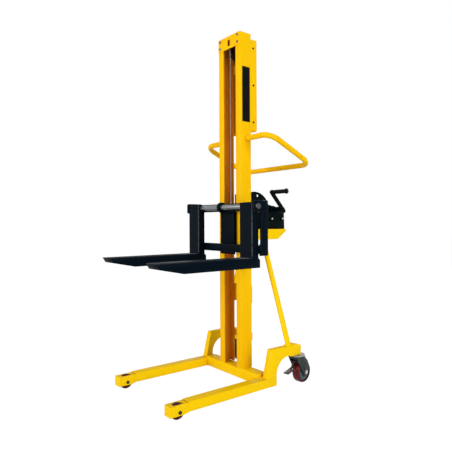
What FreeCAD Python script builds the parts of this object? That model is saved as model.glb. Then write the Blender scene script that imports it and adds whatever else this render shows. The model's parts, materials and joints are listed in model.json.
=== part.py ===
import FreeCAD, Part
import math
import os

os.makedirs("parts", exist_ok=True)
V = FreeCAD.Vector

# Overall figures, in millimetres. X is across, forks point to -Y, Z is up, the floor is Z = 0.
# Lengths along Y named "ahead" or "behind" are counted from the front face of the mast.
HEIGHT = 2061.0
FORK_AHEAD = 675.0
TRACK = 548.0

# Fits shared by every moving pair
RUNNING = 0.05
SLIDING = 0.5
LOOSE = 1.0
SIDE_PLAY = 1.5

# Legs, beam and roller housings
LEG_W = 60.0
LEG_H = 50.0
LEG_Z = 30.0
LEG_WALL = 4.0
LEG_BEHIND = 88.0
BEAM_D = 72.0
BEAM_Z = 35.0
BEAM_TOP = 91.0
BEAM_WALL = 5.0
BEAM_DRAIN_D = 12.0
HOUSE_W = 57.0
HOUSE_Z = 24.0
HOUSE_TOP = 75.0
HOUSE_ROOF_T = 4.0
HOUSE_ROOF_GAP = 2.0
HOUSE_SLOT_W = 32.0
HOUSE_NOSE = 6.0
HOUSE_EDGE = 6.0
ROLLER_D = 80.0
ROLLER_W = 29.0
ROLLER_AHEAD = 551.0
HOUSE_LEAD = 54.0
HOUSE_TRAIL = 51.0
HOUSE_FLOOR_TRAIL = 25.0
HOUSE_AHEAD = ROLLER_AHEAD + HOUSE_LEAD
LEG_AHEAD = ROLLER_AHEAD - HOUSE_TRAIL
HOUSE_SLOPE_AHEAD = ROLLER_AHEAD - HOUSE_FLOOR_TRAIL
ROLLER_RIM = 4.0
ROLLER_AXLE_D = 14.0
ROLLER_NUT_D = 17.0
ROLLER_NUT_T = 5.0

# Mast
MAST_W = 204.0
MAST_D = 80.0
RAIL_FLANGE = 44.0
RAIL_WEB = 5.0
RAIL_FLANGE_T = 7.0
HEAD_W = 200.0
HEAD_H = 76.0
HEAD_T = 5.0
HEAD_SLOT_W = 22.0
HEAD_SLOT_H = 36.0
HEAD_SLOT_DROP = 41.0
HEAD_SCREW_X = 82.0
HEAD_SCREW_DROPS = (15.0, 57.0)
HEAD_TIE_DROP = 203.0
HEAD_TIE_H = 58.0
HEAD_TIE_Z = HEIGHT - HEAD_TIE_DROP
HEAD_CAP_DROP = 24.0
SCREW_D = 13.0
SCREW_H = 4.0
COVER_DROP = 30.0
COVER_H = 542.0
COVER_TOP = HEIGHT - COVER_DROP
COVER_Z = COVER_TOP - COVER_H
COVER_BEHIND = 129.0
COVER_T = 2.0
COVER_ROUND = 2.0
COVER_SCREW_BEHIND = 101.0
COVER_SCREW_INSET = 51.5
COVER_SCREW_DROPS = (COVER_SCREW_INSET, COVER_H / 2, COVER_H - COVER_SCREW_INSET)
TIE_T = 6.0
TIE_UPPER = (465.0, 570.0)
TIE_LOWER = (248.0, 291.0)

# Push handle
HANDLE_BEHIND = 377.0
HANDLE_D = 32.0
HANDLE_WALL = 2.5
HANDLE_X = 302.0
HANDLE_ROUND = 70.0
HANDLE_FRONT = 46.0
HANDLE_TOP = 1439.0
HANDLE_REAR_Z = 1291.0

# Caster brackets
BRACKET_TOP = 235.0
BRACKET_T = 5.0
BRACKET_FOOT = 14.0
BRACKET_SHOULDER = 52.0
BRACKET_BEHIND = 285.0
BRACKET_EDGE_Z = 180.0
BRACKET_BOW_R = 92.0
BRACKET_BOW_BEHIND = 180.0
BRACKET_FLANGE = 37.0
BRACKET_CORNER_BACK = 22.0
BRACKET_CORNER_DROP = 8.0
CASTER_SEAT_W = 84.0
CASTER_SEAT_T = 7.0
CASTER_SEAT_BEHIND = 200.0

# Struts
STRUT_D = 31.0
STRUT_WALL = 3.0
STRUT_OUT = 13.0
STRUT_FOOT_BEHIND = 197.0
STRUT_HEAD_IN = 6.0
STRUT_HEAD_BEHIND = 185.0
STRUT_HEAD_RISE = 22.0
STRUT_BOLT_BEHIND = 20.0
STRUT_TAB = 46.0
STRUT_TAB_T = 4.0

# Casters
CASTER_OUT = 11.0
CASTER_X = TRACK / 2 + CASTER_OUT
CASTER_BEHIND = 270.0
CASTER_TRAIL = 44.0
CASTER_TURN = 8.0
CASTER_D = 125.0
CASTER_W = 50.0
CASTER_TREAD = 11.0
RACE_D = 92.0
RACE_H = 11.0
RACE_GAP = 0.8
YOKE_RING_D = 98.0
YOKE_RING_H = 8.0
YOKE_T = 4.0
YOKE_GAP = 3.0
YOKE_TOP_W = 74.0
YOKE_FOOT_R = 26.0
YOKE_SHOULDER = 62.0
YOKE_SHOULDER_Z = 130.0
YOKE_BACK = 79.0
YOKE_BACK_Z = 98.0
CASTER_AXLE_D = 12.0
CASTER_NUT_D = 19.0
CASTER_NUT_T = 7.0
KINGPIN_D = 20.0
KINGPIN_H = 7.0
PEDAL_PIVOT_LEAD = 14.0
PEDAL_PIVOT_Z = 130.0
PEDAL_PIN_D = 8.0
PEDAL_KNEE_LEAD = 27.0
PEDAL_KNEE_Z = 96.0
PEDAL_PAD_LEAD = 48.0
PEDAL_LEAD = 102.0
PEDAL_TIP_Z = 79.0
PEDAL_W = 34.0
PEDAL_ARM_W = 14.0
PEDAL_ASIDE = 14.0
PEDAL_T = 5.0

# Carriage
PLATE_W = 126.0
PLATE_T = 12.0
PLATE_AHEAD = 10.0
PLATE_RISE = 60.0
CHEEK_T = 9.0
CHEEK_X = 45.0
CHEEK_BEHIND = 66.0
CHEEK_RISE = 74.0
BAR_H = 46.0
LOWER_BAR_RISE = 75.0
END_X = 309.0
END_T = 13.0
END_RISE = 65.0
END_LUG = 31.0
END_STEM = 40.0
END_BEHIND = 10.0
END_FOOT_H = 64.0
SHAFT_D = 31.0
SHAFT_DROP = 22.0
SHAFT_X = 330.0
LUG_W = 14.0
LUG_R = 30.0
CAR_ROLLER_D = 65.2
CAR_ROLLER_W = 27.0
CAR_ROLLER_X = 61.0
CAR_ROLLER_RISE = 34.0
CAR_ROLLER_DROP = 37.0
CAR_PIN_D = 22.0
CAR_PIN_HEAD_T = 4.0
CAR_PIN_HEAD_D = 30.0
CAR_PIN_END = 2.0
ANCHOR_W = 26.0
ANCHOR_H = 22.0
ANCHOR_DROP = 15.0
ANCHOR_REAR = 16.0
FERRULE_D = 11.0
FERRULE_H = 26.0

# Forks
FORK_X = 199.0
FORK_W = 105.0
FORK_FACE = 92.0
FORK_DEPTH = 46.0
FORK_HEEL = 58.0
FORK_Z = 698.0
FORK_H = 357.0
FORK_BLADE_H = 54.0
FORK_WALL = 6.0
FORK_TAPER = 150.0
FORK_TIP_RISE = 27.0
FORK_TIP_BACK = 18.0
FORK_HEEL_CUT = 12.0
FORK_ROUND = 6.0

# Heights that follow the resting height of the fork blades
FORK_TOP = FORK_Z + FORK_H
FORK_BLADE_TOP = FORK_Z + FORK_BLADE_H
FORK_TIP_Z = FORK_Z + FORK_TIP_RISE
CARRIAGE_TOP = FORK_TOP
PLATE_Z = FORK_Z + PLATE_RISE
CHEEK_Z = FORK_Z + CHEEK_RISE
LOWER_BAR_Z = FORK_Z + LOWER_BAR_RISE
SHAFT_Z = FORK_TOP - SHAFT_DROP
END_Z = FORK_Z + END_RISE
END_TOP = SHAFT_Z + END_LUG
CAR_ROLLER_LOW = CHEEK_Z + CAR_ROLLER_RISE
CAR_ROLLER_HIGH = CARRIAGE_TOP - CAR_ROLLER_DROP
ANCHOR_TOP = CARRIAGE_TOP - ANCHOR_DROP

# Rope, sheave and winch
ROPE_D = 5.0
ROPE_BEHIND = 8.0
SHEAVE_R = 48.5
SHEAVE_RIM = 6.0
SHEAVE_W = 16.0
SHEAVE_HUB_W = 30.0
SHEAVE_HUB_R = 18.0
SHEAVE_DROP = 83.0
SHEAVE_Z = HEIGHT - SHEAVE_DROP
SHEAVE_AXLE_D = 20.0
ROPE_SEAT = 0.4
DRUM_CORE_R = 37.1
DRUM_Z = 1009.0
DRUM_FLANGE_R = 53.0
DRUM_FLANGE_T = 4.0
DRUM_LEFT = 48.0
GEAR_X = 26.0
GEAR_W = 8.0
ROPE_PITCH = 5.5
ROPE_LOOPS = 7
DRUM_SHAFT_D = 20.0
DRUM_MODULE = 3.0
DRUM_TEETH = 40
IDLER_PINION_TEETH = 12
IDLER_MODULE = 2.5
IDLER_TEETH = 40
CRANK_TEETH = 12
GEAR_BACKLASH = 0.5
ADDENDUM_SHARE = 0.85
DEDENDUM_SHARE = 1.2
PRESSURE_ANGLE = 20.0
GEAR_LINE = 7.2
IDLER_GEAR_X = 38.0
IDLER_SHAFT_D = 14.0
IDLER_HUB_R = 13.0
CRANK_SHAFT_D = 18.0
CRANK_X = 150.0
CRANK_T = 8.0
CRANK_W = 26.0
CRANK_HEEL = 17.0
CRANK_REACH = (-90.0, 98.5)
CRANK_TAIL = 63.0
BRAKE_R = 21.0
BRAKE_X = 64.0
BRAKE_T = 12.0
CRANK_SLEEVE_R = 14.0
GRIP_D = 25.0
GRIP_RIM_D = 32.0
GRIP_RIM_T = 9.0
GRIP_L = 122.0
GRIP_PIN_D = 10.0
GRIP_CAP_D = 16.0
GRIP_CAP_T = 3.0
WINCH_X = 60.0
WINCH_T = 6.0
WINCH_DROP = 106.0
WINCH_Z = DRUM_Z - WINCH_DROP
WINCH_FRONT = 88.0
WINCH_R = 123.0
WINCH_SHOULDER = ((116.0, 47.0), (192.0, 30.0), (249.0, -5.0))
WINCH_REAR = 253.0
WINCH_HOLE_D = 16.0
WINCH_HOLE_R = 102.0
WINCH_HOLE_TURNS = (14.0, 50.0)
WINCH_BOLT_BACK = (137.0, 229.0)
WINCH_BOLT_DROP = 41.0
WINCH_BOLT_Z = DRUM_Z - WINCH_BOLT_DROP
WINCH_BOLT_D = 12.0
WINCH_NUT_D = 21.0
WINCH_NUT_T = 9.0
WBRACKET_X = 88.0
WBRACKET_T = 6.0
WBRACKET_H = 63.0
WBRACKET_Z = WINCH_Z - WBRACKET_H
WBRACKET_BEHIND = 386.0
WBRACKET_SLANT = 314.0
WBRACKET_NOSE = 12.0

# The middle of the whole length, from the fork tips to the back of the winch, lies at Y = 0.
WINDING_R = DRUM_CORE_R + ROPE_D / 2 + ROPE_SEAT
DRUM_BEHIND = ROPE_BEHIND + SHEAVE_R * 2 + WINDING_R
MAST_Y = (FORK_AHEAD - DRUM_BEHIND - WINCH_REAR) / 2

EPS_SHARE = 0.001
ROOT_SHARE = 0.98


def ym(behind):
    return MAST_Y + behind


def box(x0, x1, y0, y1, z0, z1):
    return Part.makeBox(x1 - x0, y1 - y0, z1 - z0, V(x0, y0, z0))


def rod_x(x0, x1, y, z, d):
    return Part.makeCylinder(d / 2, x1 - x0, V(x0, y, z), V(1, 0, 0))


def rod_z(x, y, z0, z1, d):
    return Part.makeCylinder(d / 2, z1 - z0, V(x, y, z0), V(0, 0, 1))


def rod_between(a, b, d):
    return Part.makeCylinder(d / 2, (b - a).Length, a, b - a)


def prism_x(points, x0, x1):
    outline = [V(x0, y, z) for y, z in points]
    face = Part.Face(Part.makePolygon(outline + outline[:1]))
    return face.extrude(V(x1 - x0, 0, 0))


def hexagon_x(x0, x1, y, z, across):
    turns = [math.radians(60 * i) for i in range(6)]
    reach = across / math.sqrt(3)
    return prism_x([(y + reach * math.cos(t), z + reach * math.sin(t)) for t in turns], x0, x1)


def mirrored(shape):
    return shape.mirror(V(0, 0, 0), V(1, 0, 0))


def rounded(shape, radius, pick):
    edges = [e for e in shape.Edges if pick(e)]
    return shape.makeFillet(radius, edges)


def straight(edge, axis):
    if len(edge.Vertexes) < 2:
        return False
    run = edge.Vertexes[1].Point - edge.Vertexes[0].Point
    return abs(abs(run.dot(axis)) - run.Length) < EPS_SHARE * run.Length


def save(name, shape):
    solids = shape.Solids
    whole = solids[0] if len(solids) == 1 else Part.makeCompound(solids)
    whole.exportStep("parts/" + name + ".step")
    box_ = whole.BoundBox
    found = (name, len(solids), whole.isValid(), box_.ZMin, box_.ZMax)
    print("%-20s solids %d  valid %s  z %.1f to %.1f" % found)


def save_pair(name, right):
    save(name + "_right", right)
    save(name + "_left", mirrored(right))


# Legs, beam, housings and front rollers
def leg():
    x0 = TRACK / 2 - LEG_W / 2
    x1 = TRACK / 2 + LEG_W / 2
    outer = box(x0, x1, ym(-LEG_AHEAD), ym(LEG_BEHIND), LEG_Z, LEG_Z + LEG_H)
    outer = rounded(outer, LEG_WALL, lambda e: straight(e, V(0, 1, 0)))
    inner = box(x0 + LEG_WALL, x1 - LEG_WALL, ym(-LEG_AHEAD), ym(LEG_BEHIND),
                LEG_Z + LEG_WALL, LEG_Z + LEG_H - LEG_WALL)
    return outer.cut(inner)


def beam():
    half = TRACK / 2 - LEG_W / 2
    outer = box(-half, half, ym(0), ym(BEAM_D), BEAM_Z, BEAM_TOP)
    half -= BEAM_WALL
    inner = box(-half, half, ym(BEAM_WALL), ym(BEAM_D - BEAM_WALL), BEAM_Z + BEAM_WALL, BEAM_TOP - BEAM_WALL)
    drain = rod_z(0, ym(BEAM_D / 2), 0, BEAM_TOP / 2, BEAM_DRAIN_D)
    return outer.cut(inner).cut(drain)


def housing():
    x0 = TRACK / 2 - HOUSE_W / 2
    side = [(ym(-HOUSE_AHEAD), HOUSE_Z), (ym(-HOUSE_SLOPE_AHEAD), HOUSE_Z), (ym(-LEG_AHEAD), LEG_Z),
            (ym(-LEG_AHEAD), HOUSE_TOP), (ym(-HOUSE_AHEAD), HOUSE_TOP)]
    body = prism_x(side, x0, x0 + HOUSE_W)
    front = ym(-HOUSE_AHEAD)
    nose = front + HOUSE_EDGE
    body = rounded(body, HOUSE_EDGE, lambda e: straight(e, V(0, 0, 1)) and e.CenterOfMass.y < nose)
    reach = ROLLER_AHEAD - LEG_AHEAD
    x1 = TRACK / 2 - HOUSE_SLOT_W / 2
    middle = ym(-ROLLER_AHEAD)
    roof = HOUSE_TOP - HOUSE_ROOF_T
    slot = box(x1, x1 + HOUSE_SLOT_W, front + HOUSE_NOSE, middle + reach - HOUSE_EDGE, 0, roof)
    rise = roof - ROLLER_D / 2
    half = math.sqrt((ROLLER_D / 2) ** 2 - rise ** 2) + HOUSE_ROOF_GAP
    slot = slot.fuse(box(x1, x1 + HOUSE_SLOT_W, middle - half, middle + half, 0, HEIGHT))
    axle = rod_x(x0, x0 + HOUSE_W, ym(-ROLLER_AHEAD), ROLLER_D / 2, ROLLER_AXLE_D)
    return body.cut(slot).cut(axle)


def front_axle():
    x0 = TRACK / 2 - HOUSE_W / 2
    y = ym(-ROLLER_AHEAD)
    z = ROLLER_D / 2
    pin = rod_x(x0 - ROLLER_NUT_T, x0 + HOUSE_W + ROLLER_NUT_T, y, z, ROLLER_AXLE_D)
    inner = hexagon_x(x0 - ROLLER_NUT_T, x0, y, z, ROLLER_NUT_D)
    outer = hexagon_x(x0 + HOUSE_W, x0 + HOUSE_W + ROLLER_NUT_T, y, z, ROLLER_NUT_D)
    return pin.fuse([inner, outer]).removeSplitter()


def front_roller():
    x0 = TRACK / 2 - ROLLER_W / 2
    y = ym(-ROLLER_AHEAD)
    z = ROLLER_D / 2
    wheel = rod_x(x0, x0 + ROLLER_W, y, z, ROLLER_D)
    wheel = wheel.makeFillet(ROLLER_RIM, [e for e in wheel.Edges if e.Closed])
    return wheel.cut(rod_x(x0, x0 + ROLLER_W, y, z, ROLLER_AXLE_D + RUNNING * 2))


# Mast
def rail():
    x1 = MAST_W / 2
    x0 = x1 - RAIL_FLANGE
    outer = box(x0, x1, ym(0), ym(MAST_D), BEAM_TOP, HEIGHT)
    inner = box(x0, x1 - RAIL_WEB, ym(RAIL_FLANGE_T), ym(MAST_D - RAIL_FLANGE_T), BEAM_TOP, HEIGHT)
    return outer.cut(inner)


def head_plate():
    z0 = HEIGHT - HEAD_H
    plate = box(-HEAD_W / 2, HEAD_W / 2, ym(-HEAD_T), ym(0), z0, HEIGHT)
    zs = HEIGHT - HEAD_SLOT_DROP - HEAD_SLOT_H / 2
    slot = box(-HEAD_SLOT_W / 2, HEAD_SLOT_W / 2, ym(-HEAD_T), ym(0), zs, zs + HEAD_SLOT_H)
    return plate.cut(slot)


# A tie behind the rails, a strip above the cover and a lid between the webs close the mast's head.
def head_tie():
    half = MAST_W / 2 - COVER_T - LOOSE
    rear = ym(MAST_D)
    web = MAST_W / 2 - RAIL_WEB
    tie = box(-half, half, rear, rear + HEAD_T, HEAD_TIE_Z, HEAD_TIE_Z + HEAD_TIE_H)
    strip = box(-half, half, rear, rear + HEAD_T, HEIGHT - HEAD_CAP_DROP, HEIGHT)
    lid = box(-web, web, ym(RAIL_FLANGE_T), rear - RAIL_FLANGE_T, HEIGHT - HEAD_T, HEIGHT)
    return Part.makeCompound([tie, strip, lid])


def cover():
    x = MAST_W / 2
    outer = box(-x, x, ym(MAST_D), ym(COVER_BEHIND), COVER_Z, COVER_TOP)
    joint = ym(MAST_D) + COVER_ROUND
    outer = rounded(outer, COVER_ROUND, lambda e: straight(e, V(0, 0, 1)) and e.CenterOfMass.y > joint)
    x -= COVER_T
    inner = box(-x, x, ym(MAST_D), ym(COVER_BEHIND - COVER_T), COVER_Z, COVER_TOP - COVER_T)
    return outer.cut(inner)


def tie_plates():
    half = MAST_W / 2
    return Part.makeCompound([box(-half, half, ym(MAST_D), ym(MAST_D + TIE_T), z0, z1)
                              for z0, z1 in (TIE_UPPER, TIE_LOWER)])


def screws():
    heads = []
    for x in (-HEAD_SCREW_X, HEAD_SCREW_X):
        for drop in HEAD_SCREW_DROPS:
            base = V(x, ym(-HEAD_T - SCREW_H), HEIGHT - drop)
            heads.append(Part.makeCylinder(SCREW_D / 2, SCREW_H, base, V(0, 1, 0)))
    x0 = MAST_W / 2
    for drop in COVER_SCREW_DROPS:
        right = rod_x(x0, x0 + SCREW_H, ym(COVER_SCREW_BEHIND), COVER_TOP - drop, SCREW_D)
        heads += [right, mirrored(right)]
    return Part.makeCompound(heads)


def handle_wire():
    drop = V(0, ym(HANDLE_BEHIND) - ym(HANDLE_FRONT), HANDLE_REAR_Z - HANDLE_TOP)
    along = V(drop)
    along.normalize()
    across = V(1, 0, 0)
    front = V(0, ym(HANDLE_FRONT), HANDLE_TOP)
    rear = front + drop
    r = HANDLE_ROUND
    bow = r * (1 - math.sqrt(0.5))
    edges = []
    start = front + across * (MAST_W / 2)
    for side in (1, -1):
        out = across * side
        a = front + out * (HANDLE_X - r)
        b = front + out * HANDLE_X + along * r
        m = front + out * (HANDLE_X - bow) + along * bow
        c = rear + out * HANDLE_X - along * r
        d = rear + out * (HANDLE_X - r)
        n = rear + out * (HANDLE_X - bow) - along * bow
        edges.append([Part.makeLine(front + out * (MAST_W / 2), a), Part.Arc(a, m, b).toShape(),
                      Part.makeLine(b, c), Part.Arc(c, n, d).toShape()])
    bridge = Part.makeLine(rear + across * (HANDLE_X - r), rear - across * (HANDLE_X - r))
    return Part.Wire(edges[0] + [bridge] + edges[1][::-1]), start


def swept(wire, start, direction, radius):
    ring = Part.Wire(Part.makeCircle(radius, start, direction))
    return wire.makePipeShell([ring], True, True)


def handle():
    wire, start = handle_wire()
    outer = swept(wire, start, V(1, 0, 0), HANDLE_D / 2)
    inner = swept(wire, start, V(1, 0, 0), HANDLE_D / 2 - HANDLE_WALL)
    return outer.cut(inner)


# Brackets over the casters, and struts
def caster_bracket():
    x1 = TRACK / 2 + LEG_W / 2
    foot = LEG_Z + LEG_H
    arch = []
    for i in range(13):
        t = math.radians(90 + 90 * i / 12)
        arch.append((ym(BRACKET_BOW_BEHIND) + BRACKET_BOW_R * math.cos(t),
                     BRACKET_EDGE_Z - BRACKET_BOW_R + BRACKET_BOW_R * math.sin(t)))
    lean = [(ym(BRACKET_FOOT), foot), (ym(BRACKET_SHOULDER), BRACKET_TOP)]
    inside = [(y + BRACKET_T, z) for y, z in lean]
    rear = ym(BRACKET_BEHIND)
    crest = [(rear - BRACKET_CORNER_BACK, BRACKET_TOP), (rear, BRACKET_TOP - BRACKET_CORNER_DROP)]
    side = lean + crest + [(rear, BRACKET_EDGE_Z)] + arch + [(arch[-1][0], foot)]
    plate = prism_x(side, x1 - BRACKET_T, x1)
    front = prism_x(lean + inside[::-1], x1 - BRACKET_FLANGE, x1)
    roof = lean[1:] + crest
    top = prism_x(roof + [(y, z - BRACKET_T) for y, z in roof[::-1]], x1 - BRACKET_FLANGE, x1)
    seat = box(x1 - CASTER_SEAT_W, x1, ym(CASTER_SEAT_BEHIND), rear,
               BRACKET_EDGE_Z - CASTER_SEAT_T, BRACKET_EDGE_Z)
    return plate.fuse([front, top, seat]).removeSplitter()


def strut():
    a = V(TRACK / 2 + STRUT_OUT, ym(STRUT_FOOT_BEHIND), BRACKET_TOP)
    b = V(WBRACKET_X - STRUT_HEAD_IN, ym(STRUT_HEAD_BEHIND), WBRACKET_Z + STRUT_HEAD_RISE)
    along = (b - a) * (STRUT_D / (b - a).Length)
    a = a - along
    tube = rod_between(a, b, STRUT_D).cut(rod_between(a, b, STRUT_D - STRUT_WALL * 2))
    tube = tube.cut(box(0, HEIGHT, ym(0), HEIGHT, 0, BRACKET_TOP))
    tube = tube.cut(box(0, WBRACKET_X, ym(0), HEIGHT, 0, HEIGHT))
    x1 = TRACK / 2 + LEG_W / 2
    tab = box(x1 - BRACKET_FLANGE, x1 - BRACKET_T, ym(STRUT_FOOT_BEHIND - STRUT_D / 2),
              ym(STRUT_FOOT_BEHIND) + STRUT_TAB, BRACKET_TOP, BRACKET_TOP + STRUT_TAB_T)
    whole = tube.fuse(tab).removeSplitter()
    core = rod_between(a, b, STRUT_D - STRUT_WALL * 2)
    return whole.cut(core.cut(box(0, HEIGHT, ym(0), HEIGHT, 0, BRACKET_TOP + STRUT_TAB_T)))


def strut_bolts():
    x = TRACK / 2 + LEG_W / 2 - BRACKET_FLANGE / 2
    y = ym(STRUT_FOOT_BEHIND) + STRUT_TAB - STRUT_BOLT_BEHIND
    z = BRACKET_TOP + STRUT_TAB_T
    right = rod_z(x, y, z, z + SCREW_H * 2, SCREW_D)
    return Part.makeCompound([right, mirrored(right)])


# Casters. The yoke is drawn trailing straight back, then turned with its wheel and pedal.
def turned(shape):
    copy = shape.copy()
    copy.rotate(V(CASTER_X, ym(CASTER_BEHIND), 0), V(0, 0, 1), CASTER_TURN)
    return copy


def caster_top():
    z1 = BRACKET_EDGE_Z - CASTER_SEAT_T
    y = ym(CASTER_BEHIND)
    race = rod_z(CASTER_X, y, z1 - RACE_H, z1, RACE_D)
    pin_low = z1 - RACE_H - RACE_GAP - YOKE_RING_H - RACE_GAP - KINGPIN_H
    pin = rod_z(CASTER_X, y, pin_low, z1, KINGPIN_D)
    head = rod_z(CASTER_X, y, pin_low, pin_low + KINGPIN_H, KINGPIN_D + KINGPIN_H * 2)
    return race.fuse([pin, head]).removeSplitter()


def caster_yoke():
    z1 = BRACKET_EDGE_Z - CASTER_SEAT_T - RACE_H - RACE_GAP
    y = ym(CASTER_BEHIND)
    ya = y + CASTER_TRAIL
    za = CASTER_D / 2
    ring = rod_z(CASTER_X, y, z1 - YOKE_RING_H, z1, YOKE_RING_D)
    x0 = CASTER_W / 2 + YOKE_GAP
    half = YOKE_TOP_W / 2
    outline = [(y - half, z1 - YOKE_RING_H), (y + half, z1 - YOKE_RING_H), (y + YOKE_SHOULDER, YOKE_SHOULDER_Z),
               (y + YOKE_BACK, YOKE_BACK_Z), (ya + YOKE_FOOT_R, za), (ya - YOKE_FOOT_R, za)]
    cheek = prism_x(outline, CASTER_X + x0, CASTER_X + x0 + YOKE_T)
    foot = rod_x(CASTER_X + x0, CASTER_X + x0 + YOKE_T, ya, za, YOKE_FOOT_R * 2)
    right = cheek.fuse(foot)
    left = right.copy()
    left.translate(V(-x0 * 2 - YOKE_T, 0, 0))
    body = ring.fuse([right, left]).removeSplitter()
    body = body.cut(rod_z(CASTER_X, y, 0, HEIGHT, KINGPIN_D + RUNNING * 2))
    body = body.cut(rod_x(0, HEIGHT, ya, za, CASTER_AXLE_D))
    lead = y - PEDAL_PIVOT_LEAD
    return body.cut(rod_x(0, HEIGHT, lead, PEDAL_PIVOT_Z, PEDAL_PIN_D + RUNNING * 2))


def caster_axle():
    x0 = CASTER_W / 2 + YOKE_GAP + YOKE_T
    y = ym(CASTER_BEHIND) + CASTER_TRAIL
    z = CASTER_D / 2
    nut = x0 + CASTER_NUT_T
    pin = rod_x(CASTER_X - nut, CASTER_X + nut, y, z, CASTER_AXLE_D)
    a = hexagon_x(CASTER_X + x0, CASTER_X + nut, y, z, CASTER_NUT_D)
    b = hexagon_x(CASTER_X - nut, CASTER_X - x0, y, z, CASTER_NUT_D)
    return pin.fuse([a, b]).removeSplitter()


def caster_wheel():
    y = ym(CASTER_BEHIND) + CASTER_TRAIL
    z = CASTER_D / 2
    x0 = CASTER_X - CASTER_W / 2
    tyre = rod_x(x0, x0 + CASTER_W, y, z, CASTER_D)
    tyre = tyre.makeFillet(CASTER_TREAD / 2, [e for e in tyre.Edges if e.Closed])
    core = CASTER_D - CASTER_TREAD * 2
    tyre = tyre.cut(rod_x(x0, x0 + CASTER_W, y, z, core))
    hub = rod_x(x0, x0 + CASTER_W, y, z, core)
    hub = hub.cut(rod_x(x0, x0 + CASTER_W, y, z, CASTER_AXLE_D + RUNNING * 2))
    return tyre, hub


# A strip of even thickness along a bent line
def band(points, thick):
    normals = []
    for a, b in zip(points, points[1:]):
        run = V(0, b[0] - a[0], b[1] - a[1])
        run.normalize()
        normals.append(V(0, run.z, -run.y))
    ends = normals[:1] + normals + normals[-1:]
    upper = []
    lower = []
    for (y, z), n, m in zip(points, ends, ends[1:]):
        aside = (n + m) * (thick / 2 / (1 + n.dot(m)))
        upper.append((y + aside.y, z + aside.z))
        lower.append((y - aside.y, z - aside.z))
    return upper + lower[::-1]


def pedal():
    middle = ym(CASTER_BEHIND)
    y = middle - PEDAL_PIVOT_LEAD
    z = PEDAL_PIVOT_Z
    half = CASTER_W / 2 + YOKE_GAP
    pin = rod_x(CASTER_X - half - YOKE_T, CASTER_X + half + YOKE_T, y, z, PEDAL_PIN_D)
    lip = half - LOOSE
    knee = (middle - PEDAL_KNEE_LEAD, PEDAL_KNEE_Z)
    tip = (middle - PEDAL_LEAD, PEDAL_TIP_Z)
    along = (PEDAL_PAD_LEAD - PEDAL_KNEE_LEAD) / (PEDAL_LEAD - PEDAL_KNEE_LEAD)
    start = (middle - PEDAL_PAD_LEAD, PEDAL_KNEE_Z + (PEDAL_TIP_Z - PEDAL_KNEE_Z) * along)
    x0 = CASTER_X - PEDAL_ASIDE - PEDAL_ARM_W / 2
    arm = prism_x(band([(y, z), knee, tip], PEDAL_T), x0, x0 + PEDAL_ARM_W)
    pad = prism_x(band([start, tip], PEDAL_T), x0, x0 + PEDAL_W)
    sleeve = rod_x(CASTER_X - lip, CASTER_X + lip, y, z, PEDAL_PIN_D * 2)
    return pin.fuse([arm, pad, sleeve]).removeSplitter()


# Carriage
def bar_front():
    return ym(-FORK_FACE + FORK_DEPTH) + SLIDING


def carriage_body():
    y1 = ym(-PLATE_AHEAD)
    plate = box(-PLATE_W / 2, PLATE_W / 2, y1 - PLATE_T, y1, PLATE_Z, CARRIAGE_TOP)
    cheek = box(CHEEK_X, CHEEK_X + CHEEK_T, y1, ym(CHEEK_BEHIND), CHEEK_Z, CARRIAGE_TOP)
    body = plate.fuse([cheek, mirrored(cheek)]).removeSplitter()
    for z in (CAR_ROLLER_LOW, CAR_ROLLER_HIGH):
        body = body.cut(rod_x(-MAST_W, MAST_W, ym(MAST_D / 2), z, CAR_PIN_D))
    return body


def carriage_bar(z0):
    return box(-END_X, END_X, bar_front(), ym(-PLATE_AHEAD) - PLATE_T, z0, z0 + BAR_H)


def carriage_end():
    front = ym(-FORK_FACE) - SIDE_PLAY * 2
    rear = ym(END_BEHIND)
    stem = ym(-END_STEM)
    neck = SHAFT_Z * 2 - END_TOP
    outline = [(front, END_TOP), (rear, END_TOP), (rear, END_Z), (bar_front(), END_Z),
               (bar_front(), END_Z + END_FOOT_H), (stem, END_Z + END_FOOT_H), (stem, neck), (front, neck)]
    plate = prism_x(outline, END_X, END_X + END_T)
    nose = front + LOOSE
    plate = rounded(plate, FORK_ROUND * 2, lambda e: straight(e, V(1, 0, 0)) and e.CenterOfMass.y < nose)
    return plate.cut(rod_x(0, HEIGHT, shaft_y(), SHAFT_Z, SHAFT_D))


def shaft_y():
    return ym(-FORK_FACE + (FORK_DEPTH + FORK_HEEL) / 4)


def carriage_lug():
    y = shaft_y()
    disc = rod_x(-LUG_W / 2, LUG_W / 2, y, SHAFT_Z, LUG_R * 2)
    block = box(-LUG_W / 2, LUG_W / 2, y, bar_front(), SHAFT_Z - LUG_R, SHAFT_Z + LUG_R)
    lug = disc.fuse(block).removeSplitter()
    lug = lug.cut(box(-LUG_W, LUG_W, bar_front(), ym(0), 0, HEIGHT))
    return lug.cut(rod_x(-LUG_W, LUG_W, y, SHAFT_Z, SHAFT_D))


def carriage_shaft():
    return rod_x(-SHAFT_X, SHAFT_X, shaft_y(), SHAFT_Z, SHAFT_D)


def roller_pins():
    y = ym(MAST_D / 2)
    pins = []
    for z in (CAR_ROLLER_LOW, CAR_ROLLER_HIGH):
        stem = rod_x(CHEEK_X - CAR_PIN_HEAD_T, CAR_ROLLER_X + CAR_ROLLER_W + CAR_PIN_END, y, z, CAR_PIN_D)
        head = rod_x(CHEEK_X - CAR_PIN_HEAD_T, CHEEK_X, y, z, CAR_PIN_HEAD_D)
        pin = stem.fuse(head).removeSplitter()
        pins += [pin, mirrored(pin)]
    return Part.makeCompound(pins)


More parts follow.
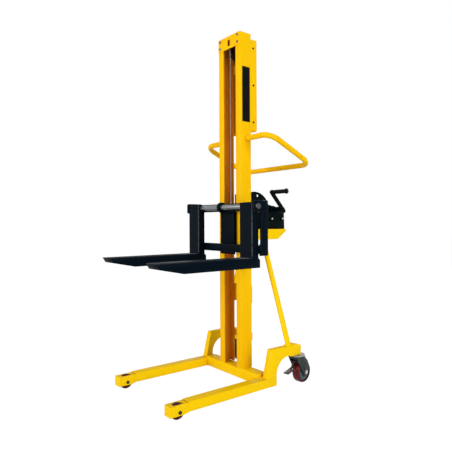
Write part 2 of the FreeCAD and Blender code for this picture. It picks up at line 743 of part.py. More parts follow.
def carriage_roller(z):
    y = ym(MAST_D / 2)
    wheel = rod_x(CAR_ROLLER_X, CAR_ROLLER_X + CAR_ROLLER_W, y, z, CAR_ROLLER_D)
    wheel = wheel.makeFillet(SIDE_PLAY, [e for e in wheel.Edges if e.Closed])
    return wheel.cut(rod_x(CAR_ROLLER_X, CAR_ROLLER_X + CAR_ROLLER_W, y, z, CAR_PIN_D + RUNNING * 2))


def rope_anchor():
    y = ym(ROPE_BEHIND)
    low = ANCHOR_TOP - ANCHOR_H
    arm = box(-ANCHOR_W / 2, ANCHOR_W / 2, ym(-PLATE_AHEAD), y + ANCHOR_REAR, low, ANCHOR_TOP)
    ferrule = rod_z(0, y, ANCHOR_TOP, ANCHOR_TOP + FERRULE_H, FERRULE_D)
    return arm.fuse(ferrule).removeSplitter()


# Forks
def fork():
    y0 = ym(-FORK_FACE)
    heel = y0 + FORK_HEEL
    tip = ym(-FORK_AHEAD)
    rear = y0 + FORK_DEPTH
    x1 = FORK_X + FORK_W
    outline = [(heel, FORK_Z), (heel, FORK_BLADE_TOP - FORK_HEEL_CUT), (rear, FORK_BLADE_TOP),
               (rear, FORK_TOP), (y0, FORK_TOP), (y0, FORK_BLADE_TOP), (tip, FORK_BLADE_TOP),
               (tip + FORK_TIP_BACK, FORK_TIP_Z), (tip + FORK_TAPER, FORK_Z)]
    body = prism_x(outline, FORK_X, x1)
    body = rounded(body, FORK_ROUND, lambda e: straight(e, V(0, 0, 1)) and e.CenterOfMass.y < y0 + LOOSE)
    ceiling = FORK_BLADE_TOP - FORK_WALL
    end = tip + FORK_TIP_BACK + FORK_WALL
    under = [(heel - FORK_WALL, 0), (heel - FORK_WALL, ceiling), (end, ceiling), (end, 0)]
    body = body.cut(prism_x(under, FORK_X + FORK_WALL, x1 - FORK_WALL))
    body = body.cut(box(FORK_X + FORK_WALL, x1 - FORK_WALL, y0 + FORK_WALL, rear - FORK_WALL,
                        FORK_BLADE_TOP, FORK_TOP - FORK_WALL))
    return body.cut(rod_x(FORK_X, x1, shaft_y(), SHAFT_Z, SHAFT_D + RUNNING * 2))


# Rope run and sheave
def rope_r():
    return ROPE_D / 2


def sheave_behind():
    return ROPE_BEHIND + SHEAVE_R


def drum_y():
    return ym(DRUM_BEHIND)


def sheave():
    y = ym(sheave_behind())
    floor = SHEAVE_R - rope_r() - ROPE_SEAT
    seat = floor + rope_r() + ROPE_SEAT
    half = SHEAVE_W / 2
    groove = rope_r() + ROPE_SEAT
    rim = SHEAVE_R + SHEAVE_RIM
    profile = [V(-SHEAVE_HUB_W / 2, y, SHEAVE_Z + SHEAVE_AXLE_D / 2 + RUNNING),
               V(-SHEAVE_HUB_W / 2, y, SHEAVE_Z + SHEAVE_HUB_R), V(-half, y, SHEAVE_Z + SHEAVE_HUB_R),
               V(-half, y, SHEAVE_Z + rim), V(-groove - SIDE_PLAY, y, SHEAVE_Z + rim),
               V(-groove, y, SHEAVE_Z + seat), V(-groove, y, SHEAVE_Z + floor)]
    other = [V(-p.x, p.y, p.z) for p in profile[::-1]]
    ring = profile + other
    face = Part.Face(Part.makePolygon(ring + ring[:1]))
    return face.revolve(V(0, y, SHEAVE_Z), V(1, 0, 0), 360)


def sheave_axle():
    half = MAST_W / 2 - RAIL_WEB
    return rod_x(-half, half, ym(sheave_behind()), SHEAVE_Z, SHEAVE_AXLE_D)


# The still run ends above the drum, just where it would meet the turning coils.
def rope_clear():
    reach = WINDING_R + rope_r() + SLIDING
    return math.sqrt(reach ** 2 - (WINDING_R - rope_r()) ** 2)


def rope_run():
    yf = ym(ROPE_BEHIND)
    yb = yf + SHEAVE_R * 2
    top = V(0, ym(sheave_behind()), SHEAVE_Z + SHEAVE_R)
    a = V(0, yf, SHEAVE_Z)
    b = V(0, yb, SHEAVE_Z)
    end = V(0, yb, DRUM_Z + rope_clear())
    wire = Part.Wire([Part.Arc(a, top, b).toShape(), Part.makeLine(b, end)])
    return swept(wire, a, V(0, 0, 1), rope_r())


def rope_front():
    y = ym(ROPE_BEHIND)
    return rod_z(0, y, ANCHOR_TOP + FERRULE_H + SLIDING, SHEAVE_Z - SLIDING, ROPE_D)


# Winding on the drum: quarter turns of a coil, each made of two arcs that share their tangent.
def coil_point(turn):
    t = turn * 2 * math.pi
    r = WINDING_R
    y = drum_y() - r * math.cos(t)
    z = DRUM_Z - r * math.sin(t)
    slope = ROPE_PITCH / (2 * math.pi)
    run = V(-slope, r * math.sin(t), -r * math.cos(t))
    run.normalize()
    return V(-ROPE_PITCH * turn, y, z), run


def arc_from(a, q, b):
    chord = b - a
    leg_ = q - a
    w = chord.dot(leg_) / (chord.Length * leg_.Length)
    mid = (a + q * (2 * w) + b) * (1 / (2 + 2 * w))
    return Part.Arc(a, mid, b).toShape(), mid


def winding():
    edges = []
    points = []
    for i in range(ROPE_LOOPS * 4):
        p0, t0 = coil_point(i / 4)
        p1, t1 = coil_point((i + 1) / 4)
        v = p1 - p0
        t = t0 + t1
        k = 2 * (1 - t0.dot(t1))
        d = (-v.dot(t) + math.sqrt(v.dot(t) ** 2 + k * v.dot(v))) / k
        q0 = p0 + t0 * d
        q1 = p1 - t1 * d
        j = (q0 + q1) * 0.5
        first, m0 = arc_from(p0, q0, j)
        second, m1 = arc_from(j, q1, p1)
        edges += [first, second]
        points += [p0, m0, j, m1]
    per_loop = len(points) // ROPE_LOOPS
    least = min((points[i] - points[i + n]).Length for i in range(len(points) - per_loop - 1)
                for n in (per_loop - 1, per_loop, per_loop + 1) if i + n < len(points))
    print("winding: least gap to itself %.2f mm" % (least - ROPE_D))
    start, run = coil_point(0)
    return swept(Part.Wire(edges), start, run, rope_r())


# Gears with involute flanks
def gear_outline(module, teeth, phase):
    pitch = module * teeth / 2
    tip = pitch + module * ADDENDUM_SHARE
    root = pitch - module * DEDENDUM_SHARE
    base = pitch * math.cos(math.radians(PRESSURE_ANGLE))
    inv = math.tan(math.radians(PRESSURE_ANGLE)) - math.radians(PRESSURE_ANGLE)
    half = (math.pi * module / 2 - GEAR_BACKLASH / 2) / (2 * pitch)

    def flank(r):
        if r <= base:
            return half + inv
        a = math.acos(base / r)
        return half + inv - (math.tan(a) - a)

    low = max(base, root)
    radii = [low + (tip - low) * s / 4 for s in range(5)]
    points = []
    for n in range(teeth):
        c = 2 * math.pi * n / teeth + phase
        space = math.pi / teeth
        points.append((root, c - space * ROOT_SHARE))
        points.append((root, c - flank(low)))
        points += [(r, c - flank(r)) for r in radii[(1 if low == root else 0):]]
        points += [(r, c + flank(r)) for r in radii[::-1][:(4 if low == root else 5)]]
        points.append((root, c + flank(low)))
    return points


def gear(module, teeth, phase, y, z, x0, x1):
    outline = gear_outline(module, teeth, phase)
    return prism_x([(y + r * math.cos(a), z + r * math.sin(a)) for r, a in outline], x0, x1)


def idler_at():
    reach = DRUM_MODULE * (DRUM_TEETH + IDLER_PINION_TEETH) / 2
    a = math.radians(GEAR_LINE)
    return drum_y() + reach * math.cos(a), DRUM_Z + reach * math.sin(a)


def crank_at():
    y, z = idler_at()
    reach = IDLER_MODULE * (IDLER_TEETH + CRANK_TEETH) / 2
    a = math.radians(GEAR_LINE)
    return y + reach * math.cos(a), z + reach * math.sin(a)


def drum():
    y = drum_y()
    core = rod_x(-DRUM_LEFT, GEAR_X, y, DRUM_Z, DRUM_CORE_R * 2)
    flange = rod_x(-DRUM_LEFT, -DRUM_LEFT + DRUM_FLANGE_T, y, DRUM_Z, DRUM_FLANGE_R * 2)
    whole = core.fuse(flange).removeSplitter()
    return whole.cut(rod_x(-HEIGHT, HEIGHT, y, DRUM_Z, DRUM_SHAFT_D + RUNNING * 2))


def drum_gear():
    line = math.radians(GEAR_LINE)
    wheel = gear(DRUM_MODULE, DRUM_TEETH, line, drum_y(), DRUM_Z, GEAR_X, GEAR_X + GEAR_W)
    return wheel.cut(rod_x(-HEIGHT, HEIGHT, drum_y(), DRUM_Z, DRUM_SHAFT_D + RUNNING * 2))


def idler():
    y, z = idler_at()
    line = math.radians(GEAR_LINE)
    half = math.pi / IDLER_PINION_TEETH
    pinion = gear(DRUM_MODULE, IDLER_PINION_TEETH, line + math.pi + half, y, z, GEAR_X - SIDE_PLAY,
                  GEAR_X + GEAR_W + SIDE_PLAY)
    hub = rod_x(GEAR_X + GEAR_W, IDLER_GEAR_X, y, z, IDLER_HUB_R * 2)
    wheel = gear(IDLER_MODULE, IDLER_TEETH, line, y, z, IDLER_GEAR_X, IDLER_GEAR_X + GEAR_W)
    whole = pinion.fuse([hub, wheel]).removeSplitter()
    return whole.cut(rod_x(-HEIGHT, HEIGHT, y, z, IDLER_SHAFT_D + RUNNING * 2))


def winch_shafts():
    y, z = idler_at()
    return Part.makeCompound([rod_x(-WINCH_X, WINCH_X, drum_y(), DRUM_Z, DRUM_SHAFT_D),
                              rod_x(-WINCH_X, WINCH_X, y, z, IDLER_SHAFT_D)])


def crank_shaft():
    y, z = crank_at()
    half = math.pi / CRANK_TEETH
    pinion = gear(IDLER_MODULE, CRANK_TEETH, math.radians(GEAR_LINE) + math.pi + half, y, z,
                  IDLER_GEAR_X - SIDE_PLAY, IDLER_GEAR_X + GEAR_W + SIDE_PLAY)
    shaft = rod_x(-CRANK_TAIL, CRANK_X + CRANK_T + CRANK_T, y, z, CRANK_SHAFT_D)
    sleeve = rod_x(WINCH_X + LOOSE, CRANK_X, y, z, CRANK_SLEEVE_R * 2)
    disc = rod_x(BRAKE_X, BRAKE_X + BRAKE_T, y, z, BRAKE_R * 2)
    return pinion.fuse([shaft, sleeve, disc]).removeSplitter()


def crank_arm():
    y, z = crank_at()
    end = V(0, CRANK_REACH[0], CRANK_REACH[1])
    along = V(end)
    along.normalize()
    side = V(0, -along.z, along.y) * (CRANK_W / 2)
    a = V(0, y, z)
    b = a + end
    heel = a - along * CRANK_HEEL
    corners = [heel + side, b + side, b - side, heel - side]
    bar = prism_x([(p.y, p.z) for p in corners], CRANK_X, CRANK_X + CRANK_T)
    ends = [rod_x(CRANK_X, CRANK_X + CRANK_T, p.y, p.z, CRANK_W) for p in (heel, b)]
    arm = bar.fuse(ends).removeSplitter()
    arm = arm.cut(rod_x(CRANK_X, CRANK_X + CRANK_T, a.y, a.z, CRANK_SHAFT_D))
    x1 = CRANK_X + CRANK_T
    x2 = x1 + GRIP_L + SIDE_PLAY * 2
    pin = rod_x(CRANK_X, x2, b.y, b.z, GRIP_PIN_D)
    cap = rod_x(x2, x2 + GRIP_CAP_T, b.y, b.z, GRIP_CAP_D)
    return arm.fuse([pin, cap]).removeSplitter()


def crank_grip():
    y, z = crank_at()
    y += CRANK_REACH[0]
    z += CRANK_REACH[1]
    x0 = CRANK_X + CRANK_T + SIDE_PLAY
    sleeve = rod_x(x0, x0 + GRIP_L, y, z, GRIP_D)
    rim = rod_x(x0 + GRIP_L - GRIP_RIM_T, x0 + GRIP_L, y, z, GRIP_RIM_D)
    grip = sleeve.fuse(rim).removeSplitter()
    return grip.cut(rod_x(x0, x0 + GRIP_L, y, z, GRIP_PIN_D + RUNNING * 2))


def winch_plate_outline():
    y = drum_y()
    front = ym(WINCH_FRONT)
    lift = math.acos((front - y) / WINCH_R)
    last = WINCH_SHOULDER[0]
    stop = math.atan2(last[1], last[0])
    arc = []
    for i in range(25):
        t = lift + (stop - lift) * i / 24
        arc.append((y + WINCH_R * math.cos(t), DRUM_Z + WINCH_R * math.sin(t)))
    shoulder = [(y + back, DRUM_Z + rise) for back, rise in WINCH_SHOULDER[1:]]
    return [(front, WINCH_Z)] + arc + shoulder + [(y + WINCH_REAR, WINCH_Z)]


def winch_frame():
    plate = prism_x(winch_plate_outline(), WINCH_X - WINCH_T, WINCH_X)
    for turn in WINCH_HOLE_TURNS:
        t = math.radians(90 - turn)
        y = drum_y() + WINCH_HOLE_R * math.cos(t)
        z = DRUM_Z + WINCH_HOLE_R * math.sin(t)
        plate = plate.cut(rod_x(0, MAST_W, y, z, WINCH_HOLE_D))
    base = box(-WINCH_X, WINCH_X, ym(WINCH_FRONT), drum_y() + WINCH_REAR, WINCH_Z, WINCH_Z + WINCH_T)
    frame = base.fuse([plate, mirrored(plate)]).removeSplitter()
    frame = frame.cut(rod_x(-MAST_W, MAST_W, drum_y(), DRUM_Z, DRUM_SHAFT_D))
    y, z = idler_at()
    frame = frame.cut(rod_x(-MAST_W, MAST_W, y, z, IDLER_SHAFT_D))
    y, z = crank_at()
    frame = frame.cut(rod_x(-MAST_W, MAST_W, y, z, CRANK_SHAFT_D + RUNNING * 2))
    for back in WINCH_BOLT_BACK:
        frame = frame.cut(rod_x(-MAST_W, MAST_W, drum_y() + back, WINCH_BOLT_Z, WINCH_BOLT_D))
    return frame


def winch_bolts():
    bolts = []
    for back in WINCH_BOLT_BACK:
        end = WINCH_X + WINCH_NUT_T
        y = drum_y() + back
        rod = rod_x(-end, end, y, WINCH_BOLT_Z, WINCH_BOLT_D)
        nut = hexagon_x(WINCH_X, end, y, WINCH_BOLT_Z, WINCH_NUT_D)
        bolts.append(rod.fuse([nut, mirrored(nut)]).removeSplitter())
    return Part.makeCompound(bolts)


def winch_bracket():
    side = [(ym(MAST_D), WBRACKET_Z), (ym(MAST_D), WINCH_Z), (ym(WBRACKET_BEHIND), WINCH_Z),
            (ym(WBRACKET_BEHIND), WINCH_Z - WBRACKET_NOSE), (ym(WBRACKET_SLANT), WBRACKET_Z)]
    cheek = prism_x(side, WBRACKET_X - WBRACKET_T, WBRACKET_X)
    top = box(-WBRACKET_X, WBRACKET_X, ym(MAST_D), ym(WBRACKET_BEHIND), WINCH_Z - WBRACKET_T, WINCH_Z)
    return top.fuse([cheek, mirrored(cheek)]).removeSplitter()


save_pair("leg", leg())
save("cross_beam", beam())
save_pair("roller_housing", housing())
save("front_axles", Part.makeCompound([front_axle(), mirrored(front_axle())]))
save_pair("front_roller", front_roller())
save_pair("mast_rail", rail())
save("head_plate", head_plate())
save("head_tie", head_tie())
save("rear_cover", cover())
save("mast_ties", tie_plates())
save("screws", Part.makeCompound([screws(), strut_bolts()]))
save("handle_bar", handle())
save_pair("caster_bracket", caster_bracket())
save_pair("strut", strut())
save_pair("caster_top", caster_top())
tyre, hub = caster_wheel()
save_pair("caster_yoke", turned(Part.makeCompound([caster_yoke(), caster_axle()])))
save_pair("caster_tyre", turned(tyre))
save_pair("caster_hub", turned(hub))
save_pair("brake_pedal", turned(pedal()))
save("carriage_body", carriage_body())
save("carriage_upper_bar", carriage_bar(CARRIAGE_TOP - BAR_H))
save("carriage_lower_bar", carriage_bar(LOWER_BAR_Z))
save_pair("carriage_end", carriage_end())
save("carriage_lug", carriage_lug())
save("fork_shaft", carriage_shaft())
save("roller_pins", roller_pins())
save("rope_anchor", rope_anchor())
save_pair("roller_low", carriage_roller(CAR_ROLLER_LOW))
save_pair("roller_high", carriage_roller(CAR_ROLLER_HIGH))
save_pair("fork", fork())
save("sheave", sheave())
save("sheave_axle", sheave_axle())
save("rope_run", rope_run())
save("rope_front", rope_front())
save("rope_winding", winding())
save("drum", drum())
save("drum_gear", drum_gear())
save("idler_gear", idler())
save("winch_shafts", winch_shafts())
save("crank_shaft", crank_shaft())
save("crank_arm", crank_arm())
save("crank_grip", crank_grip())
save("winch_frame", winch_frame())
save("winch_bolts", winch_bolts())
save("winch_bracket", winch_bracket())
print("mast front %.3f  drum %.3f  fork shaft %.3f" % (MAST_Y, drum_y(), shaft_y()))
print("idler %.4f %.4f  crank %.4f %.4f" % (idler_at() + crank_at()))
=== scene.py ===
# %% [markdown]
# # A hand pallet stacker
#
# The measured frame of this stacker comes ready made: every plate, tube, wheel and gear is there
# at its real size, and each one already moves with its joint. This lesson dresses that frame. It
# softens the sharp edges, models the pieces a quick drawing leaves plain, and gives every surface
# a finish that is built from nodes.

# %% Load the frame
import bpy
import json
import math
from mathutils import Matrix, Vector


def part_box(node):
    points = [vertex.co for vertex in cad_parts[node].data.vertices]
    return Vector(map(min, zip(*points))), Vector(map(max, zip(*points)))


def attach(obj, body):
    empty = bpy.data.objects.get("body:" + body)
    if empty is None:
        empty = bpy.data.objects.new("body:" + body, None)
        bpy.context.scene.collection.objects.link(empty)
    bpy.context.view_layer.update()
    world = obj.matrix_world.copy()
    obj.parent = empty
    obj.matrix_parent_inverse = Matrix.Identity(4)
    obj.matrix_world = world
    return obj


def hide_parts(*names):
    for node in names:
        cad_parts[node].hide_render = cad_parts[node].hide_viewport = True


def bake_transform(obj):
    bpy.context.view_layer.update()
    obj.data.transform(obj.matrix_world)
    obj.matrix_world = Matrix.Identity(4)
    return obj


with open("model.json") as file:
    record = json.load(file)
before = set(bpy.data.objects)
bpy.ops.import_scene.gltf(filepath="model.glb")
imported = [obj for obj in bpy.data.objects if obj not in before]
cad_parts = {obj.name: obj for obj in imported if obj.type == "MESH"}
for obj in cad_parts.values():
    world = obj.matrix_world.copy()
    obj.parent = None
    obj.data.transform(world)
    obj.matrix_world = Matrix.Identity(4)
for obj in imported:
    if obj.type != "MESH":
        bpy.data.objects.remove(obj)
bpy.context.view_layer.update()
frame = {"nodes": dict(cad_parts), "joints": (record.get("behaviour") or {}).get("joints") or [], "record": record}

nodes = frame["nodes"]

# %% [markdown]
# ## Where the photographer stood
#
# The view is level, a little under a metre from the floor, ahead of the forks and to the right.
# A camera can be aimed with angles, but its matrix says the same thing more plainly: three
# columns for right, up and back, and a fourth for the place. The picture leans by a quarter of a
# degree, so right and up lean with it.

# %% Camera
IMAGE_SIDE = 452
FOCAL_PIXELS = 470.01
HORIZON_PIXELS = 3.5
SENSOR = 36.0
mast_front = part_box("mast_rail_right")[0].y
eye = Vector((2.202, mast_front - 1.7558, 0.945))
turn = math.radians(51.92)
lean = math.radians(0.26)

level = Vector((math.cos(turn), math.sin(turn), 0))
ahead = Vector((-math.sin(turn), math.cos(turn), 0))
right = level * math.cos(lean) - Vector((0, 0, 1)) * math.sin(lean)
up = level * math.sin(lean) + Vector((0, 0, 1)) * math.cos(lean)
place = Matrix((right, up, -ahead)).transposed().to_4x4()
place.translation = eye

camera_data = bpy.data.cameras.new("camera")
camera_data.sensor_fit = "HORIZONTAL"
camera_data.sensor_width = SENSOR
camera_data.lens = FOCAL_PIXELS * SENSOR / IMAGE_SIDE
camera_data.shift_y = -HORIZON_PIXELS / IMAGE_SIDE
camera_data.clip_end = 100
camera = bpy.data.objects.new("camera", camera_data)
bpy.context.scene.collection.objects.link(camera)
camera.matrix_world = place
bpy.context.scene.camera = camera
print("camera: lens %.2f mm" % camera_data.lens)

# %% [markdown]
# ## A way to write shader sums
#
# Wiring nodes one by one hides the idea behind them. Here a socket is wrapped in a small class, so
# that a sum such as `1 - wear * 0.5` adds its own Math nodes. Everything else, a noise, a ramp or
# a mix, comes from one method that takes the node's type, its settings and what goes into it.

# %% Socket sums
class Flow:
    """One output socket of a material's node tree, ready for sums."""

    def __init__(self, tree, socket):
        self.tree = tree
        self.socket = socket

    def node(self, kind, settings=None, out=0, **sockets):
        made = self.tree.nodes.new(kind)
        for name, value in (settings or {}).items():
            if name == "stops":
                elements = made.color_ramp.elements
                while len(elements) < len(value):
                    elements.new(0.5)
                for element, (position, colour) in zip(elements, value):
                    element.position = position
                    element.color = colour if len(colour) == 4 else (*colour, 1)
            else:
                setattr(made, name, value)
        for name, value in sockets.items():
            key = int(name[1:]) if name[0] == "i" and name[1:].isdigit() else name.replace("_", " ")
            target = made.inputs[key]
            if isinstance(value, Flow):
                self.tree.links.new(value.socket, target)
            else:
                target.default_value = value
        return Flow(self.tree, made.outputs[out])

    def sum(self, operation, a, b):
        return self.node("ShaderNodeMath", {"operation": operation}, i0=a, i1=b)

    def __add__(self, other):
        return self.sum("ADD", self, other)

    def __radd__(self, other):
        return self.sum("ADD", other, self)

    def __sub__(self, other):
        return self.sum("SUBTRACT", self, other)

    def __rsub__(self, other):
        return self.sum("SUBTRACT", other, self)

    def __mul__(self, other):
        return self.sum("MULTIPLY", self, other)

    def __rmul__(self, other):
        return self.sum("MULTIPLY", other, self)

    def __gt__(self, other):
        return self.sum("GREATER_THAN", self, other)

    def __lt__(self, other):
        return self.sum("LESS_THAN", self, other)


def noise(start, place, scale, detail=3.0, rough=0.55):
    return start.node("ShaderNodeTexNoise", None, 0, Vector=place, Scale=scale, Detail=detail,
                      Roughness=rough)


def ramp(value, low, high):
    stops = [(low, (0, 0, 0)), (high, (1, 1, 1))]
    return value.node("ShaderNodeValToRGB", {"stops": stops}, 0, Fac=value)


def blend(factor, one, other):
    return factor.node("ShaderNodeMix", {"data_type": "RGBA"}, 2, i0=factor, i6=one, i7=other)


class Finish:
    """A material with its Principled shader, its object coordinates and a name for each input."""

    def __init__(self, name, **fixed):
        self.material = bpy.data.materials.new(name)
        self.material.use_nodes = True
        tree = self.material.node_tree
        self.shader = tree.nodes["Principled BSDF"]
        self.flow = Flow(tree, tree.nodes.new("ShaderNodeTexCoord").outputs["Object"])
        for key, value in fixed.items():
            self.shader.inputs[key.replace("_", " ")].default_value = value

    def set(self, name, value):
        self.flow.tree.links.new(value.socket, self.shader.inputs[name])

    def bump(self, height, strength, distance):
        normal = self.flow.node("ShaderNodeBump", None, 0, Height=height, Strength=strength,
                                Distance=distance)
        self.set("Normal", normal)

    def edge(self):
        return self.flow.node("ShaderNodeAttribute", {"attribute_name": "edge"}, 2)


# %% [markdown]
# ## Yellow enamel
#
# The frame, the mast and the push handle wear a thick glossy enamel. Sprayed paint is never quite
# even: it lies in a fine orange peel, its colour drifts a little over a long rail, and on the
# rims of plates it is thinner and a bit paler. The orange peel is bump, the drift is a wide noise,
# and the rims come from an attribute that the edge softening below leaves on each piece. Between the
# rails, where the carriage runs, the paint is painted brown in patches: painted shade for the shade
# inside the channel. In the photograph the base looks closer to lemon than the mast, so it gets a
# yellow of its own.

# %% Enamel
YELLOW = {"mast": (0.94, 0.54, 0.0020, 1), "base": (0.955, 0.615, 0.0022, 1)}
YELLOW_DEEP = {"mast": (0.88, 0.46, 0.0015, 1), "base": (0.91, 0.54, 0.0016, 1)}
YELLOW_RIM = (0.97, 0.60, 0.008, 1)
RAIL_SHADE_BROWN = (0.80, 0.27, 0.025, 1)
RAIL_SIDE, RAIL_DEPTH, FILM = 0.102, 0.080, 0.0012


def inside_rails(made):
    """One on the faces between the mast's outer sides, its front and its back; zero outside."""
    x = made.flow.node("ShaderNodeSeparateXYZ", None, 0, Vector=made.flow)
    y = made.flow.node("ShaderNodeSeparateXYZ", None, 1, Vector=made.flow)
    across = x.sum("ABSOLUTE", x, 0.0) < RAIL_SIDE - FILM
    depth = (y > mast_front + FILM) * (y < mast_front + RAIL_DEPTH - FILM)
    return across * depth


def enamel(name, tone="mast", shade_rails=False):
    made = Finish(name, Specular_IOR_Level=0.03, Coat_Roughness=0.12)
    place = made.flow
    drift = ramp(noise(place, place, 2.3, 4.0), 0.35, 0.72)
    dust = ramp(noise(place, place, 38.0, 5.0), 0.56, 0.82)
    rim = made.edge() * ramp(noise(place, place, 60.0, 3.0), 0.3, 0.6)
    colour = blend(drift * 0.38 + dust * 0.10, YELLOW[tone], YELLOW_DEEP[tone])
    colour = blend(rim * 0.5, colour, YELLOW_RIM)
    # Painted shade: between the rails the paint turns brown in patches, for the shade inside the channel.
    if shade_rails:
        shade_patches = ramp(noise(place, place, 9.0, 4.0), 0.25, 0.75)
        colour = blend(inside_rails(made) * (0.45 + shade_patches * 0.35), colour, RAIL_SHADE_BROWN)
    made.set("Base Color", colour)
    made.set("Roughness", 0.30 + drift * 0.08 + dust * 0.12)
    made.set("Coat Weight", 0.015 - dust * 0.01)
    peel = noise(place, place, 420.0, 2.0) * 0.5 + noise(place, place, 110.0, 2.0) * 0.5
    made.bump(peel, 0.10, 0.0006)
    return made.material


yellow = enamel("yellow_enamel")
base_yellow = enamel("base_yellow_enamel", tone="base")
rail_shade_yellow = enamel("rail_painted_shade_enamel", shade_rails=True)
print("enamels:", yellow.name, base_yellow.name, rail_shade_yellow.name)

# %% [markdown]
# ## Black powder coat
#
# Forks, carriage and winch plates are powder coated. Powder melts into a leathery skin with tiny
# dimples, satin rather than glossy, with a cold sheen. The rims are painted a lighter grey, partly
# rubbed wear and partly painted highlight; on the forks it is strong, runs along the rounded corners
# of the uprights and fades low down on the blades. Towards the heels the tops of the blades are
# painted lighter grey as a painted highlight.

# %% Powder coat
COAT_BLACK = (0.0008, 0.0040, 0.0085, 1)
COAT_DUSTY = (0.0026, 0.0056, 0.0092, 1)
WINCH_BLACK = (0.0014, 0.0040, 0.0040, 1)
RUB_AND_HIGHLIGHT_GREY = (0.13, 0.145, 0.155, 1)
HEEL_TOP_HIGHLIGHT = (0.20, 0.205, 0.21, 1)
HEEL_BEFORE, HEEL_LENGTH = 0.092, 0.17
BLADE_TOP = 0.752
UPRIGHT_FROM = BLADE_TOP + 0.01
LOW_SHARE = 0.12


def powder(name, rub_and_highlight, coat=COAT_BLACK):
    made = Finish(name, Specular_IOR_Level=0.022)
    place = made.flow
    haze = ramp(noise(place, place, 5.0, 5.0), 0.38, 0.75)
    drawn = place.node("ShaderNodeMapping", None, 0, Vector=place, Scale=(9.0, 2.0, 30.0))
    scuff = ramp(noise(place, drawn, 6.0, 6.0), 0.60, 0.74)
    height = place.node("ShaderNodeSeparateXYZ", None, 2, Vector=place)
    highlight_height_share = LOW_SHARE + (height > UPRIGHT_FROM) * (1 - LOW_SHARE)
    # Painted highlight, with a little rubbed wear: a lighter grey on the rims, strongest on the uprights.
    rim = made.edge() * ramp(noise(place, place, 45.0, 4.0), 0.26, 0.55) * highlight_height_share
    colour = blend(haze * 0.55, coat, COAT_DUSTY)
    colour = blend(rim * rub_and_highlight + scuff * 0.03, colour, RUB_AND_HIGHLIGHT_GREY)
    back = place.node("ShaderNodeSeparateXYZ", None, 1, Vector=place)
    # Painted highlight: the tops of the blades turn lighter grey towards the heel.
    heel = ramp((back - (mast_front - HEEL_BEFORE - HEEL_LENGTH)) * (1 / HEEL_LENGTH), 0.0, 1.0)
    heel = heel * heel * place.node("ShaderNodeAttribute", {"attribute_name": "blade_top"}, 2)
    made.set("Base Color", blend(heel * (0.5 + haze * 0.4), colour, HEEL_TOP_HIGHLIGHT))
    made.set("Roughness", 0.40 + haze * 0.12 - rim * 0.06)
    dimples = noise(place, place, 700.0, 2.0) * 0.6 + noise(place, place, 190.0, 2.0) * 0.4
    made.bump(dimples, 0.16, 0.0005)
    return made.material


black = powder("black_powder_coat", 0.08)
fork_black = powder("fork_powder_coat", 0.45)
winch_black = powder("winch_powder_coat", 0.10, WINCH_BLACK)
print("powder coats:", black.name, fork_black.name, winch_black.name)

# %% [markdown]
# ## Metals
#
# Bare metal shows in many places. The shaft that carries the forks is ground and plated, so its
# scratches run round it. Axle nuts are zinc plated and bright, the swivel races are plated too but
# duller, most screws have been blackened, and the caster forks are pressed from a cloudy grey sheet.
# Gears and guide wheels are plain steel with oil on them, the sheave is painted dark brown, a painted
# shade for the shade it turns in at the mast head, and the rope is galvanised wire.

# %% Bare metals
def metal(name, colour, darker, rough, spread, cloud, stretch=(1.0, 1.0, 1.0), grain=300.0, depth=0.08):
    made = Finish(name, Metallic=1.0)
    place = made.flow
    drawn = place.node("ShaderNodeMapping", None, 0, Vector=place, Scale=stretch)
    clouds = ramp(noise(place, place, cloud, 4.0), 0.36, 0.7)
    lines = noise(place, drawn, grain, 3.0)
    made.set("Base Color", blend(clouds * 0.7 + lines * 0.15, (*colour, 1), (*darker, 1)))
    made.set("Roughness", rough + clouds * spread + lines * 0.08)
    made.bump(lines, depth, 0.0003)
    return made.material


shaft_plating = metal("shaft_plating", (0.205, 0.215, 0.22), (0.145, 0.15, 0.155), 0.27, 0.05, 18.0,
                      (6.0, 0.4, 0.4), 260.0)
zinc = metal("zinc_plating", (0.62, 0.62, 0.60), (0.36, 0.36, 0.35), 0.26, 0.18, 46.0)
race_plating = metal("race_plating", (0.34, 0.34, 0.33), (0.15, 0.15, 0.145), 0.32, 0.18, 46.0)
pressed = metal("pressed_grey_steel", (0.040, 0.050, 0.048), (0.022, 0.027, 0.026), 0.36, 0.14, 52.0)
worn_plate = metal("worn_pedal_steel", (0.17, 0.165, 0.15), (0.075, 0.072, 0.066), 0.34, 0.20, 64.0)
blackened = metal("blackened_steel", (0.022, 0.020, 0.018), (0.009, 0.008, 0.007), 0.34, 0.16, 80.0)
dull = metal("dull_steel", (0.080, 0.088, 0.093), (0.055, 0.060, 0.064), 0.50, 0.10, 30.0)
oiled = metal("oiled_steel", (0.20, 0.19, 0.18), (0.07, 0.058, 0.048), 0.32, 0.22, 36.0)
sheave_shade_brown = metal("sheave_painted_shade_steel", (0.060, 0.034, 0.019), (0.026, 0.014, 0.008), 0.40, 0.16, 40.0)
wire = metal("galvanised_wire", (0.36, 0.31, 0.26), (0.17, 0.13, 0.10), 0.34, 0.18, 130.0)

# %% [markdown]
# ## Moulded materials
#
# The treads are cast polyurethane in a dark wine red, a little translucent on the real thing and
# dusty where they roll. The front rollers and the rings beside the treads are painted darker: painted
# shade for the shade they stand in, so they have finishes of their own. The hubs are grey black nylon,
# and the crank grip is a hard black plastic with the faint grain of its mould.

# %% Polyurethane, nylon and grip plastic
def moulded(name, colour, dusty, rough, dust_scale, grain, depth, sheen=0.16, share=0.6):
    made = Finish(name, Specular_IOR_Level=sheen)
    place = made.flow
    dust = ramp(noise(place, place, dust_scale, 5.0), 0.42, 0.78)
    made.set("Base Color", blend(dust * share, (*colour, 1), (*dusty, 1)))
    made.set("Roughness", rough + dust * 0.22)
    made.bump(noise(place, place, grain, 3.0), depth, 0.0004)
    return made.material


